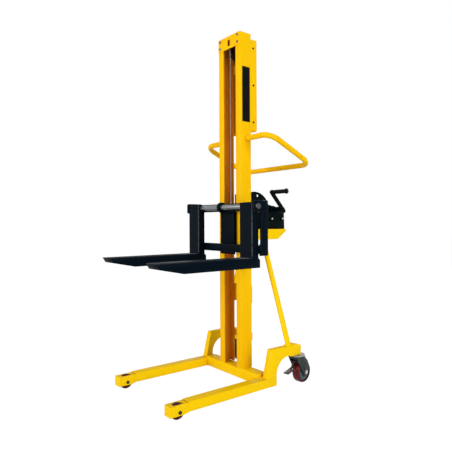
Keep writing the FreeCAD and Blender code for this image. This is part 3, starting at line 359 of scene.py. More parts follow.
tread = moulded("wine_polyurethane", (0.118, 0.008, 0.012), (0.13, 0.018, 0.019), 0.30, 60.0, 240.0, 0.10)
roller_shade_tread = moulded("roller_painted_shade_polyurethane", (0.050, 0.005, 0.007), (0.060, 0.010, 0.011), 0.34,
                       60.0, 240.0, 0.10, 0.10)
shade_ring_finish = moulded("ring_painted_shade_polyurethane", (0.016, 0.006, 0.007), (0.020, 0.010, 0.011), 0.40,
                    60.0, 240.0, 0.10, 0.06)
nylon = moulded("grey_nylon", (0.060, 0.085, 0.090), (0.095, 0.115, 0.118), 0.42, 70.0, 520.0, 0.15)
grip_plastic = moulded("grip_plastic", (0.0035, 0.0042, 0.0050), (0.009, 0.010, 0.011), 0.36,
                       80.0, 640.0, 0.15, 0.04)
print("finishes so far:", len(bpy.data.materials))

# %% [markdown]
# ## Finishes on the frame
#
# Every node of the frame names a slot, such as a paint or a plating. A table from slots to finishes
# dresses all nodes at once, and a node that isn't modelled again below keeps that finish.

# %% Put the finishes on the frame
slot_finish = {"yellow_paint": yellow, "black_paint": black, "dark_steel": oiled,
               "bright_shaft": shaft_plating, "zinc": zinc, "wire_rope": wire,
               "polyurethane": tread, "hub_plastic": nylon,
               "grip_plastic": grip_plastic}
node_slot = {row["node"]: row["material_slot"] for row in frame["record"]["subparts"]}


def dress(piece, finish):
    piece.data.materials.clear()
    piece.data.materials.append(finish)


for name, piece in nodes.items():
    dress(piece, slot_finish[node_slot[name]])
print("finishes on", len(nodes), "nodes")

# %% [markdown]
# ## A bench for modelling
#
# A piece is made by hand: a primitive is added, shaped in edit mode, and finished with modifiers.
# Operators act on all that is selected, so the first helper clears the bench. The others hold one
# piece, apply a modifier, and hand a finished piece to its body and its finish.

# %% Bench helpers
body_nodes = frame["record"]["behaviour"]["bodies"]
node_body = {member: body for body, members in body_nodes.items() for member in members}
joint_of = {joint["name"]: joint for joint in frame["joints"]}


def alone(piece):
    if bpy.context.object and bpy.context.object.mode != "OBJECT":
        bpy.ops.object.mode_set(mode="OBJECT")
    bpy.ops.object.select_all(action="DESELECT")
    piece.select_set(True)
    bpy.context.view_layer.objects.active = piece


def edit(piece):
    alone(piece)
    bpy.ops.object.mode_set(mode="EDIT")
    bpy.ops.mesh.select_mode(type="VERT")
    bpy.ops.mesh.select_all(action="SELECT")


def added(name):
    piece = bpy.context.active_object
    piece.name = name
    piece.data.name = name
    return piece


def modified(piece, kind, **settings):
    alone(piece)
    step = piece.modifiers.new(kind.lower(), kind)
    for key, value in settings.items():
        setattr(step, key, value)
    bpy.ops.object.modifier_apply(modifier=step.name)


def smooth(piece, degrees=32):
    alone(piece)
    bpy.ops.object.shade_smooth_by_angle(angle=math.radians(degrees))


def put(piece, matrix):
    alone(piece)
    piece.matrix_world = matrix
    bpy.ops.object.transform_apply(location=True, rotation=True, scale=True)


def along(direction, place):
    """A matrix that lays a piece's own X axis along a direction, with its origin at a place."""
    matrix = Vector(direction).to_track_quat("X", "Z").to_matrix().to_4x4()
    matrix.translation = Vector(place)
    return matrix


def stands_for(piece, *members, finish=None):
    first = members[0]
    dress(piece, finish or slot_finish[node_slot[first]])
    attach(piece, node_body[first])
    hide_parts(*members)


def joins(piece, body, slot, finish=None):
    dress(piece, finish or slot_finish[slot])
    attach(piece, body)


def copied(piece, name, matrix):
    twin = piece.copy()
    twin.data = piece.data.copy()
    twin.name = name
    twin.data.name = name
    bpy.context.scene.collection.objects.link(twin)
    put(twin, matrix)
    return twin


def gathered(name, model, places):
    """Copies of one model at many places, joined into a single piece; the model itself goes."""
    twins = [copied(model, "%s_%d" % (name, i), matrix) for i, matrix in enumerate(places)]
    alone(twins[0])
    for twin in twins:
        twin.select_set(True)
    bpy.ops.object.join()
    bpy.data.objects.remove(model)
    return added(name)


# %% [markdown]
# ## Rounded rims
#
# Nothing made of plate or tube has a razor edge: shears and paint leave a radius of a millimetre or
# so, and it catches the light. Each plain node is copied, its triangles are merged back into flat
# faces, and a Bevel modifier rounds what is sharp. The bevel also writes a second material number
# on the strips it makes, which is a handy way to find them again: they get the `edge` attribute
# that the enamel and the powder coat read.

# %% Soften the frame's own plates
RIM = {}
for names, width in (
        (("leg_left", "leg_right", "cross_beam"), 0.0010),
        (("roller_housing_left", "roller_housing_right"), 0.0008),
        (("mast_rail_left", "mast_rail_right"), 0.0008),
        (("rear_cover",), 0.0005),
        (("head_plate", "head_tie", "mast_ties"), 0.0011),
        (("caster_bracket_left", "caster_bracket_right", "winch_bracket"), 0.0014),
        (("strut_left", "strut_right"), 0.0009),
        (("carriage_upper_bar", "carriage_lower_bar", "carriage_end_left", "carriage_end_right"), 0.0022),
        (("carriage_body", "carriage_lug", "rope_anchor"), 0.0015),
        (("fork_left", "fork_right"), 0.0024),
        (("winch_frame", "crank_arm"), 0.0012),
        (("caster_yoke_left", "caster_yoke_right"), 0.0009),
        (("brake_pedal_left", "brake_pedal_right"), 0.0008),
        (("crank_shaft", "drum", "drum_gear", "idler_gear"), 0.0005),
        (("winch_bolts", "winch_shafts", "roller_pins"), 0.0008),
        (("fork_shaft", "sheave_axle"), 0.0012)):
    for name in names:
        RIM[name] = width
MERGE = 0.00001
FLAT_DEGREES = 1.0
SHARP_DEGREES = 38
CORNER_LEAN = 0.3
FACES_UP = 0.95
TOP_SLACK = 0.001


def softened(node, width):
    piece = bpy.data.objects.new(node + "_rounded", nodes[node].data.copy())
    bpy.context.scene.collection.objects.link(piece)
    alone(piece)
    bpy.ops.mesh.customdata_custom_splitnormals_clear()
    edit(piece)
    bpy.ops.mesh.remove_doubles(threshold=MERGE)
    bpy.ops.mesh.dissolve_limited(angle_limit=math.radians(FLAT_DEGREES))
    bpy.ops.object.mode_set(mode="OBJECT")
    piece.data.materials.append(piece.data.materials[0])
    modified(piece, "BEVEL", width=width, segments=2, limit_method="ANGLE",
             angle_limit=math.radians(SHARP_DEGREES), material=1, miter_outer="MITER_ARC")
    rim = piece.data.attributes.new("edge", "FLOAT", "FACE")
    # On the forks the rounded corners are marked as rims too, for a painted highlight along them.
    highlight_corners = node in ("fork_left", "fork_right")
    values = []
    for face in piece.data.polygons:
        corner = highlight_corners and min(abs(face.normal.x), abs(face.normal.y)) > CORNER_LEAN
        values.append(float(face.material_index or corner))
    rim.data.foreach_set("value", values)
    # The level tops of the blades are marked for the painted highlight near the heel.
    upper = piece.data.attributes.new("blade_top", "FLOAT", "FACE")
    for face in piece.data.polygons:
        face.material_index = 0
        level_top = abs(face.center.z - BLADE_TOP) < TOP_SLACK
        upper.data[face.index].value = float(face.normal.z > FACES_UP and level_top)
    smooth(piece)
    return piece


own_finish = {"caster_yoke_left": pressed, "caster_yoke_right": pressed, "brake_pedal_left": blackened,
              "brake_pedal_right": blackened, "winch_shafts": oiled, "winch_bolts": blackened,
              "mast_rail_left": rail_shade_yellow, "mast_rail_right": rail_shade_yellow}
for name in ("leg", "roller_housing", "caster_bracket", "strut"):
    own_finish[name + "_left"] = own_finish[name + "_right"] = base_yellow
own_finish["cross_beam"] = base_yellow
own_finish["winch_bracket"] = base_yellow
own_finish["winch_frame"] = own_finish["crank_arm"] = winch_black
own_finish["fork_left"] = own_finish["fork_right"] = fork_black
for name, width in RIM.items():
    stands_for(softened(name, width), name, finish=own_finish.get(name))
print("rounded", len(RIM), "nodes")

# %% [markdown]
# ## Turned pieces
#
# Wheels, rollers, the sheave and the grip are round, so each is drawn as half an outline and spun.
# By hand that is one vertex, extruded from point to point, then the Spin tool: a small lathe. The
# outline is given as pairs of place along the axle and radius, in millimetres.

# %% Lathe
def lathe(name, outline, steps=72, closed=False):
    bpy.ops.object.select_all(action="DESELECT")
    bpy.ops.mesh.primitive_plane_add(size=1, location=(0, 0, 0))
    piece = added(name)
    edit(piece)
    bpy.ops.mesh.merge(type="CENTER")
    points = [Vector((a / 1000, 0, r / 1000)) for a, r in outline]
    if closed:
        points.append(points[0])
    bpy.ops.transform.translate(value=points[0])
    for one, two in zip(points, points[1:]):
        bpy.ops.mesh.extrude_region_move(TRANSFORM_OT_translate={"value": two - one})
    bpy.ops.mesh.select_all(action="SELECT")
    bpy.ops.mesh.spin(steps=steps, angle=math.tau, center=(0, 0, 0), axis=(1, 0, 0))
    bpy.ops.mesh.select_all(action="SELECT")
    bpy.ops.mesh.remove_doubles(threshold=MERGE)
    bpy.ops.mesh.normals_make_consistent(inside=False)
    bpy.ops.object.mode_set(mode="OBJECT")
    smooth(piece, 34)
    return piece


def mirrored_outline(half):
    """A whole closed outline from the half with positive places along the axle."""
    return half + [(-a, r) for a, r in reversed(half)]


# %% [markdown]
# ### Casters
#
# The rear wheels are cast: a crowned wine red tread in a ring painted near black, which is painted
# shade for the shaded sidewall, on a grey core with a dished web and a boss for the bearing. The crown
# keeps the height of the measured wheel in its middle and falls away to the sides.

# %% Caster wheels
TREAD_HALF = [(0.0, 62.5), (9.0, 62.4), (15.5, 61.7), (19.8, 60.2), (22.6, 57.8), (24.0, 55.2), (20.0, 55.0)]
RING_HALF = [(20.0, 54.9), (24.1, 54.8), (24.9, 53.4), (24.8, 51.6), (23.0, 49.8), (19.0, 48.6), (16.0, 48.4)]
CORE_HALF = [(16.0, 48.3), (18.6, 48.0), (17.4, 41.0), (17.0, 29.0), (19.0, 25.0), (23.8, 23.4), (25.0, 22.2),
             (25.0, 14.0), (24.2, 12.8), (24.2, 6.05)]
for side in ("left", "right"):
    axle = joint_of["caster_wheel_turn_" + side]
    seat = along(axle["axis"], axle["pos_m"])
    tyre = lathe("caster_tread_" + side, mirrored_outline(TREAD_HALF), closed=True)
    put(tyre, seat)
    stands_for(tyre, "caster_tyre_" + side)
    core = lathe("caster_core_" + side, mirrored_outline(CORE_HALF), closed=True)
    put(core, seat)
    stands_for(core, "caster_hub_" + side)
    # The ring beside the tread is painted near black: painted shade.
    ring = lathe("caster_ring_" + side, mirrored_outline(RING_HALF), closed=True)
    put(ring, seat)
    joins(ring, "caster_wheel_" + side, "hub_plastic", shade_ring_finish)
print("caster wheels spun")

# %% [markdown]
# ### Swivel races, axle nuts and pedal treads
#
# A caster turns on a ring of balls between two pressed races. The upper race stays with the frame:
# it is one turned form with the kingpin under it, and a groove shows where the balls run. The axle
# ends in thick bright nuts, spun in six steps instead of seventy-two, which makes a hexagon. The
# pedal's pad carries a bare worn plate with low ribs, so that a shoe doesn't slide off it.

# %% Races, nuts and pedal ribs
RACE_OUTLINE = [(0.0, 0.0), (0.0, 16.4), (0.6, 17.0), (6.4, 17.0), (7.0, 16.4), (7.0, 10.0), (16.6, 10.0),
                (16.6, 43.6), (17.4, 45.4), (20.4, 46.0), (21.4, 44.4), (22.4, 44.4), (23.2, 46.0),
                (26.8, 46.0), (27.6, 45.0), (27.6, 0.0)]
AXLE_NUT = [(0.0, 0.0), (0.0, 13.4), (1.6, 13.4), (1.6, 11.2), (6.4, 11.2), (7.2, 10.2), (7.2, 6.4),
            (7.5, 6.0), (7.5, 0.0)]
NUT_OUT = 0.032
KNEE = Vector((0.013, -0.034))
PEDAL_SLOPE = Vector((75.0, -17.0)).normalized()
PAD_INWARD = 0.004
PAD_FROM_KNEE = 0.049
PAD_RAISE = 0.0024
PAD_OUTLINE = [(-16.0, 0.0), (-16.0, 35.0), (16.0, 35.0), (16.0, 0.0)]
PAD_FLATTEN = 0.033
RIB_OUTLINE = [(-13.5, 0.0), (-13.0, 1.4), (-12.0, 1.8), (12.0, 1.8), (13.0, 1.4), (13.5, 0.0)]
RIB_STEPS = (-0.018, -0.009, 0.0, 0.009, 0.018)
for side in ("left", "right"):
    low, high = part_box("caster_top_" + side)
    race = lathe("swivel_race_" + side, RACE_OUTLINE)
    put(race, along((0, 0, 1), ((low.x + high.x) / 2, (low.y + high.y) / 2, low.z)))
    stands_for(race, "caster_top_" + side, finish=race_plating)

    axle = joint_of["caster_wheel_turn_" + side]
    way = Vector(axle["axis"])
    hub = Vector(axle["pos_m"])
    nut = lathe("axle_nut", AXLE_NUT, steps=6)
    nuts = gathered("axle_nuts_" + side, nut, [along(way * k, hub + way * (NUT_OUT * k)) for k in (1, -1)])
    joins(nuts, "caster_fork_" + side, "zinc")

    press = joint_of["brake_pedal_press_" + side]
    way = Vector(press["axis"])
    forward, rise = Vector((way.y, -way.x, 0)), Vector((0, 0, 1))
    knee = Vector(press["pos_m"]) + forward * KNEE.x + rise * KNEE.y
    down_slope = forward * PEDAL_SLOPE.x + rise * PEDAL_SLOPE.y
    upward = way.cross(down_slope)
    upward = upward if upward.z > 0 else -upward
    inward = way if side == "left" else -way
    middle = knee + down_slope * PAD_FROM_KNEE + inward * PAD_INWARD + upward * PAD_RAISE
    pad = lathe("pedal_pad_" + side, PAD_OUTLINE, steps=4)
    turn = Matrix((way, down_slope, way.cross(down_slope))).transposed().to_4x4()
    edit(pad)
    bpy.ops.transform.rotate(value=math.radians(45), orient_axis="X", center_override=(0, 0, 0))
    bpy.ops.transform.resize(value=(1, 1, PAD_FLATTEN))
    bpy.ops.object.mode_set(mode="OBJECT")
    modified(pad, "BEVEL", width=0.0005, segments=2, limit_method="ANGLE", angle_limit=math.radians(40))
    turn.translation = middle
    put(pad, turn)
    joins(pad, "brake_pedal_" + side, "zinc", worn_plate)
    rib = lathe("pedal_rib", RIB_OUTLINE, steps=12)
    spots = [along(way, middle + down_slope * step) for step in RIB_STEPS]
    ribs = gathered("pedal_ribs_" + side, rib, spots)
    joins(ribs, "brake_pedal_" + side, "zinc", worn_plate)
print("caster races, nuts and pedal ribs made")

# %% [markdown]
# ### Front rollers, sheave and grip
#
# The small rollers at the tips of the legs are polyurethane too, painted darker as painted shade, with a step
# round the axle.
# The sheave at the mast head has a deep groove for the rope. The crank grip is a slim sleeve with a
# flared end, which keeps the hand from slipping off. Four steel wheels guide the carriage in the rails.

# %% Rollers, sheave and grip
ROLLER_HALF = [(0.0, 40.0), (6.5, 39.9), (10.5, 39.2), (13.0, 37.5), (14.3, 34.9), (14.5, 32.0), (14.5, 17.5),
               (13.4, 16.6), (13.4, 12.4), (14.2, 11.6), (14.2, 7.05)]
for side in ("left", "right"):
    axle = joint_of["front_roller_turn_" + side]
    roller = lathe("front_tread_" + side, mirrored_outline(ROLLER_HALF), closed=True)
    put(roller, along(axle["axis"], axle["pos_m"]))
    # The front rollers are painted darker: painted shade.
    stands_for(roller, "front_roller_" + side, finish=roller_shade_tread)

SHEAVE_HALF = [(2.9, 45.65), (2.9, 48.6), (4.6, 53.6), (5.4, 54.4), (7.2, 54.4), (8.0, 53.6), (8.0, 44.0),
               (6.0, 42.0), (6.0, 21.0), (8.0, 18.0), (14.4, 18.0), (15.0, 17.4), (15.0, 10.05)]
axle = joint_of["sheave_turn"]
sheave = lathe("grooved_sheave", mirrored_outline(SHEAVE_HALF), closed=True)
put(sheave, along(axle["axis"], axle["pos_m"]))
# The sheave is painted dark brown: painted shade.
stands_for(sheave, "sheave", finish=sheave_shade_brown)

GRIP_OUTLINE = [(0.0, 5.05), (0.0, 13.0), (1.0, 13.8), (4.0, 13.8), (5.2, 12.6), (8.0, 11.9), (30.0, 12.4),
                (60.0, 12.5), (95.0, 12.3), (108.0, 12.2), (112.0, 13.2), (114.5, 15.0), (117.0, 15.9),
                (120.0, 16.0), (121.4, 15.3), (122.0, 13.8), (122.0, 5.05)]
low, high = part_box("crank_grip")
grip = lathe("crank_grip_sleeve", GRIP_OUTLINE, closed=True)
put(grip, along((1, 0, 0), (low.x, (low.y + high.y) / 2, (low.z + high.z) / 2)))
stands_for(grip, "crank_grip")

GUIDE_HALF = [(0.0, 32.6), (11.6, 32.6), (13.0, 31.8), (13.5, 30.6), (13.5, 27.0), (12.3, 26.2), (12.3, 19.5),
              (13.3, 18.8), (13.3, 14.2), (13.5, 13.6), (13.5, 11.05)]
for spot in ("low_left", "low_right", "high_left", "high_right"):
    axle = joint_of["guide_%s_turn_%s" % tuple(spot.split("_"))]
    guide = lathe("guide_wheel_" + spot, mirrored_outline(GUIDE_HALF), closed=True)
    put(guide, along(axle["axis"], axle["pos_m"]))
    stands_for(guide, "roller_" + spot)
print("rollers, sheave, guide wheels and grip spun")

# %% [markdown]
# ## Bent tubes and rope
#
# The push handle is one tube with four bends, and the rope runs straight, then round the sheave, then
# in coils on the drum. A NURBS curve of order three can hold true arcs: its points sit at the ends of
# each run and at the corners where two runs would meet, and a corner point pulls with the cosine of
# half its turn. The curve is given a round or a lobed section and then made a mesh.

# %% Route and section
RIGHT_ANGLE_PULL = math.cos(math.radians(45))


def route(name, stations, resolution):
    """A curve through stations of (place, pull, twist); every second one is a corner or a middle."""
    data = bpy.data.curves.new(name, "CURVE")
    data.dimensions = "3D"
    line = data.splines.new("NURBS")
    line.points.add(len(stations) - 1)
    for point, (spot, pull, twist) in zip(line.points, stations):
        point.co = (*spot, pull)
        point.tilt = twist
    line.order_u = 3
    line.use_bezier_u = True
    line.use_endpoint_u = True
    line.resolution_u = resolution
    piece = bpy.data.objects.new(name, data)
    bpy.context.scene.collection.objects.link(piece)
    return piece


def meshed(piece, degrees=40):
    name = piece.name
    piece.data.use_fill_caps = True
    alone(piece)
    bpy.ops.object.convert(target="MESH")
    piece = added(name)
    edit(piece)
    bpy.ops.mesh.remove_doubles(threshold=MERGE)
    bpy.ops.mesh.normals_make_consistent(inside=False)
    bpy.ops.object.mode_set(mode="OBJECT")
    smooth(piece, degrees)
    return piece


# %% [markdown]
# ### Push handle
#
# The measured box of the handle gives its width, the height of its front and rear bars and how far it
# reaches back. The tube starts and ends on the mast's sides, where a fillet weld holds it.

# %% Push handle
HANDLE_RADIUS = 0.016
HANDLE_BEND = 0.070
low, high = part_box("handle_bar")
inset = Vector((HANDLE_RADIUS, HANDLE_RADIUS, HANDLE_RADIUS))
low, high = low + inset, high - inset
mast_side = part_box("mast_rail_right")[1].x
front_bar = Vector((0, low.y, high.z))
rear_bar = Vector((0, high.y, low.z))
slope = (rear_bar - front_bar).normalized()
across = Vector((1, 0, 0))


def half_handle(out):
    corners = [front_bar + out * high.x, rear_bar + out * high.x]
    straight = [front_bar + out * mast_side, corners[0] - out * HANDLE_BEND, corners[0] + slope * HANDLE_BEND,
                corners[1] - slope * HANDLE_BEND, corners[1] - out * HANDLE_BEND]
    return [(straight[0], 1, 0), ((straight[0] + straight[1]) / 2, 1, 0), (straight[1], 1, 0),
            (corners[0], RIGHT_ANGLE_PULL, 0), (straight[2], 1, 0), ((straight[2] + straight[3]) / 2, 1, 0),
            (straight[3], 1, 0), (corners[1], RIGHT_ANGLE_PULL, 0), (straight[4], 1, 0)]


bar = route("push_handle", half_handle(across) + [(rear_bar, 1, 0)] + half_handle(-across)[::-1], 10)
bar.data.bevel_depth = HANDLE_RADIUS
bar.data.bevel_resolution = 6
bar = meshed(bar)
stands_for(bar, "handle_bar")
print("push handle:", len(bar.data.polygons), "faces")

# %% [markdown]
# ### Wire rope
#
# The rope is six strands laid round each other. Seen from the end that is a ring of six lobes, and the
# twist along the curve turns the ring once in each lay. One length stands between the sheave and the
# carriage. The next goes over the sheave and down to the winch, and the last is the coils on the drum,
# which turn with it.

# %% Rope section
ROPE_LAY = 0.030
LOBE = (2.5, 2.32, 1.82, 2.32)
lobes = bpy.data.curves.new("rope_section", "CURVE")
lobes.dimensions = "2D"
ring = lobes.splines.new("POLY")
ring.points.add(23)
for i, point in enumerate(ring.points):
    angle = math.tau * i / 24
    point.co = (LOBE[i % 4] / 1000 * math.cos(angle), LOBE[i % 4] / 1000 * math.sin(angle), 0, 1)
ring.use_cyclic_u = True
section = bpy.data.objects.new("rope_section", lobes)
bpy.context.scene.collection.objects.link(section)


def laid(length):
    return length / ROPE_LAY * math.tau


def rope(name, stations, resolution):
    line = route(name, stations, resolution)
    line.data.bevel_mode = "OBJECT"
    line.data.bevel_object = section
    return meshed(line, 60)


# %% Rope lengths
sheave_at = Vector(joint_of["sheave_turn"]["pos_m"])
drum_at = Vector(joint_of["drum_turn"]["pos_m"])
SHEAVE_RADIUS = 0.0485
COIL_RADIUS = 0.040
COIL_PITCH = 0.0055
COILS = 7
COIL_ENTRY = 0.021
low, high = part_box("rope_front")
top = Vector((0, (low.y + high.y) / 2, high.z))
foot = Vector((0, top.y, low.z))
hanging = rope("rope_to_carriage", [(top, 1, 0), ((top + foot) / 2, 1, laid((top - foot).length) / 2),
                                    (foot, 1, laid((top - foot).length))], 150)
dress(hanging, wire)
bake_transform(hanging)
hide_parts("rope_front")

forth = Vector((0, SHEAVE_RADIUS, 0))
rise = Vector((0, 0, SHEAVE_RADIUS))
quarter = SHEAVE_RADIUS * math.pi / 2
end = Vector((0, sheave_at.y + SHEAVE_RADIUS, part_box("rope_run")[0].z))
fall = (sheave_at + forth - end).length
turns = [laid(quarter * share) for share in (0, 0.5, 1, 1.5, 2)]
over = rope("rope_over_sheave", [
    (sheave_at - forth, 1, turns[0]), (sheave_at - forth + rise, RIGHT_ANGLE_PULL, turns[1]),
    (sheave_at + rise, 1, turns[2]), (sheave_at + forth + rise, RIGHT_ANGLE_PULL, turns[3]),
    (sheave_at + forth, 1, turns[4]), ((sheave_at + forth + end) / 2, 1, turns[4] + laid(fall / 2)),
    (end, 1, turns[4] + laid(fall))], 150)
stands_for(over, "rope_run")

contact = Vector((0, end.y, drum_at.z))
coil = [(end, 1, 0), ((end + contact) / 2, 1, laid(COIL_ENTRY / 2)), (contact, 1, laid(COIL_ENTRY))]
for i in range(1, COILS * 8 + 1):
    angle = math.tau * i / 8
    reach = COIL_RADIUS / (RIGHT_ANGLE_PULL if i % 2 else 1)
    spot = Vector((-COIL_PITCH * i / 8, drum_at.y - reach * math.cos(angle),
                   drum_at.z - reach * math.sin(angle)))
    coil.append((spot, RIGHT_ANGLE_PULL if i % 2 else 1, laid(COIL_ENTRY + COIL_RADIUS * angle)))
coils = rope("rope_on_drum", coil, 12)
stands_for(coils, "rope_winding")
bpy.data.objects.remove(section)
print("rope:", len(hanging.data.polygons) + len(over.data.polygons) + len(coils.data.polygons), "faces")

# %% [markdown]
# ## Screws, nuts and caps
#
# Small fasteners tell the size of a machine. A cap screw is turned with a domed head and a round
# recess, and on the smaller ones the recess is then pushed out to a hexagon for the key. Each kind is
# modelled once and copied to its places. The screws on the cover have been blackened, the larger ones
# of the head plate are bare, and the bolts at the feet of the struts were painted over.

# %% Cap screws
SCREW_OUTLINE = [(0.0, 0.0), (0.0, 6.4), (1.4, 6.5), (2.8, 6.0), (3.6, 5.0), (4.0, 3.9), (4.0, 3.1),
                 (1.5, 3.0), (1.5, 0.0)]
KEY_HALF = 0.0026
KEY_INSIDE, KEY_OUTSIDE, KEY_FLOOR = 0.001, 0.0032, 0.001
HEAD_SCREW_OUT, HEAD_SCREW_DROPS = 0.082, (0.015, 0.057)
COVER_SCREW_BEHIND, COVER_SCREW_IN = 0.101, 0.0515
SCREW_RADIUS, STRUT_BOLT_AHEAD, WASHER = 0.0065, 0.020, 0.004


def cap_screw(name, grow=1.0):
    screw = lathe(name, [(a, r * grow) for a, r in SCREW_OUTLINE], steps=24)
    for vertex in screw.data.vertices:
        radius = math.hypot(vertex.co.y, vertex.co.z)
        if KEY_INSIDE < radius < KEY_OUTSIDE and vertex.co.x > KEY_FLOOR:
            angle = math.atan2(vertex.co.z, vertex.co.y) % math.radians(60) - math.radians(30)
            scale = KEY_HALF / math.cos(angle) / radius
            vertex.co.y *= scale
            vertex.co.z *= scale
    return screw


low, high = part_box("head_plate")
head_spots = [along((0, -1, 0), (x, low.y, high.z - drop)) for x in (-HEAD_SCREW_OUT, HEAD_SCREW_OUT)
              for drop in HEAD_SCREW_DROPS]
low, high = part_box("rear_cover")
cover_y = mast_front + COVER_SCREW_BEHIND
height = high.z - low.z
cover_spots = [along((k, 0, 0), (k * mast_side, cover_y, high.z - drop)) for k in (1, -1)
               for drop in (COVER_SCREW_IN, height / 2, height - COVER_SCREW_IN)]
low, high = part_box("screws")
foot_x = high.x - SCREW_RADIUS
foot_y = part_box("strut_right")[1].y - STRUT_BOLT_AHEAD
foot_spots = [along((0, 0, 1), (k * foot_x, foot_y, low.z + extra)) for k in (1, -1)
              for extra in (0, WASHER)]
bare = gathered("head_screws", cap_screw("head_screw", 1.25), head_spots)
stands_for(bare, "screws", finish=worn_plate)
painted = gathered("strut_bolts", cap_screw("strut_bolt"), foot_spots)
joins(painted, "frame", "zinc", yellow)
dark = gathered("cover_screws", cap_screw("cover_screw"), cover_spots)
joins(dark, "frame", "zinc", blackened)
print("cap screws:", len(head_spots) + len(cover_spots) + len(foot_spots))

# %% [markdown]
# The winch has a cap over each end of the drum shaft, bare ends on its two spacer bolts, and a dark
# nut that holds the crank. The front axles end in low nuts with the axle showing in the middle.

# %% Caps, bolt ends and nuts
SHAFT_CAP = [(0.0, 0.0), (0.0, 13.6), (21.0, 13.6), (22.6, 12.6), (23.2, 11.4), (23.2, 0.0)]
BOLT_END = [(-1.0, 0.0), (-1.0, 6.0), (1.6, 6.0), (2.6, 5.0), (2.6, 0.0)]
CRANK_NUT = [(0.0, 0.0), (0.0, 10.4), (6.6, 10.4), (7.4, 9.4), (7.4, 5.0), (8.2, 4.4), (8.2, 0.0)]
GRIP_STUD = [(0.0, 0.0), (0.0, 6.6), (1.0, 6.6), (1.4, 6.0), (1.4, 0.0)]
AXLE_PIN = [(-26.0, 0.0), (-26.0, 4.9), (3.6, 4.9), (4.4, 4.0), (4.4, 0.0)]
AXLE_RING = [(0.0, 5.0), (0.0, 9.8), (4.2, 9.8), (5.0, 9.0), (5.0, 6.8), (4.0, 6.4), (4.0, 5.0)]
BOLT_ACROSS = 0.021
NUT_SINK, STUD_SINK = 0.008, 0.001
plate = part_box("winch_frame")[1].x
caps = gathered("drum_shaft_caps", lathe("shaft_cap", SHAFT_CAP, steps=40),
                [along((k, 0, 0), (k * plate, drum_at.y, drum_at.z)) for k in (1, -1)])
joins(caps, "frame", "zinc", dull)

low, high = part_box("winch_bolts")
bolt_z = (low.z + high.z) / 2
nut_reach = BOLT_ACROSS / math.sqrt(3)
bolt_spots = [(low.y + nut_reach, bolt_z), (high.y - nut_reach, bolt_z)]
tips = gathered("winch_bolt_ends", lathe("bolt_end", BOLT_END, steps=32),
                [along((k, 0, 0), (k * high.x, y, z)) for k in (1, -1) for y, z in bolt_spots])
joins(tips, "frame", "zinc")

crank_at = Vector(joint_of["crank_turn"]["pos_m"])
arm_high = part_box("crank_arm")[1]
shaft_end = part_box("crank_shaft")[1].x
nut = lathe("crank_nut", CRANK_NUT, steps=6)
put(nut, along((1, 0, 0), (shaft_end - NUT_SINK, crank_at.y, crank_at.z)))
joins(nut, "crank", "zinc", blackened)
grip_low, grip_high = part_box("crank_grip")
stud = lathe("grip_stud", GRIP_STUD, steps=32)
grip_middle = (grip_low + grip_high) / 2
put(stud, along((1, 0, 0), (arm_high.x - STUD_SINK, grip_middle.y, grip_middle.z)))
joins(stud, "crank", "zinc", blackened)

ends = []
for side in ("left", "right"):
    low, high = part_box("roller_housing_" + side)
    spot = joint_of["front_roller_turn_" + side]["pos_m"]
    ends += [along((1, 0, 0), (high.x, spot[1], spot[2])), along((-1, 0, 0), (low.x, spot[1], spot[2]))]
low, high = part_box("fork_shaft")
end_radius = (high.z - low.z) * 500
END_DISC = [(-1.0, 0.0), (-1.0, end_radius), (0.3, end_radius), (0.8, end_radius - 0.5), (0.8, 0.0)]
middle = (low + high) / 2
shaft_tips = [along((k, 0, 0), (at, middle.y, middle.z)) for k, at in ((1, high.x), (-1, low.x))]
discs = gathered("shaft_end_discs", lathe("end_disc", END_DISC, steps=40), shaft_tips)
joins(discs, node_body["fork_shaft"], "bright_shaft", dull)
rings = gathered("front_axle_nuts", lathe("axle_ring", AXLE_RING, steps=6, closed=True), ends)
stands_for(rings, "front_axles", finish=blackened)
pins = gathered("front_axle_ends", lathe("pin_end", AXLE_PIN, steps=24), ends)
joins(pins, "frame", "zinc", dull)
print("caps, bolt ends and nuts made")

# %% [markdown]
# ## Weld seams
#
# The frame is welded. A seam laid by hand is a string of small overlapping beads, so a rod with a
# wavy outline, half sunk into the corner it fills, does the job, and it is painted with the rest.
# Round tubes get a ring with a sloping side.

# %% Weld beads
BEAD_STEP = 3.0
BEAD_VALLEY = 0.82
SEAM_SHORT = 0.004
HOUSING_SEAM = 1.7
HANDLE_SEAM = [(0.0, 15.8), (0.0, 20.2), (1.4, 19.8), (3.2, 17.5), (4.0, 15.8)]


def seam(name, start, finish, radius=2.4, paint=None):
    start, finish = Vector(start), Vector(finish)
    length = (finish - start).length * 1000
    count = max(2, round(length / BEAD_STEP))
    outline = [(0.0, 0.0)]
    for i in range(count):
        at = length * (i + 0.15) / count
        outline += [(at, radius * BEAD_VALLEY), (at + length / count * 0.4, radius)]
    outline.append((length, 0.0))
    bead = lathe(name, outline, steps=10)
    put(bead, along(finish - start, start))
    joins(bead, "frame", "yellow_paint", paint)


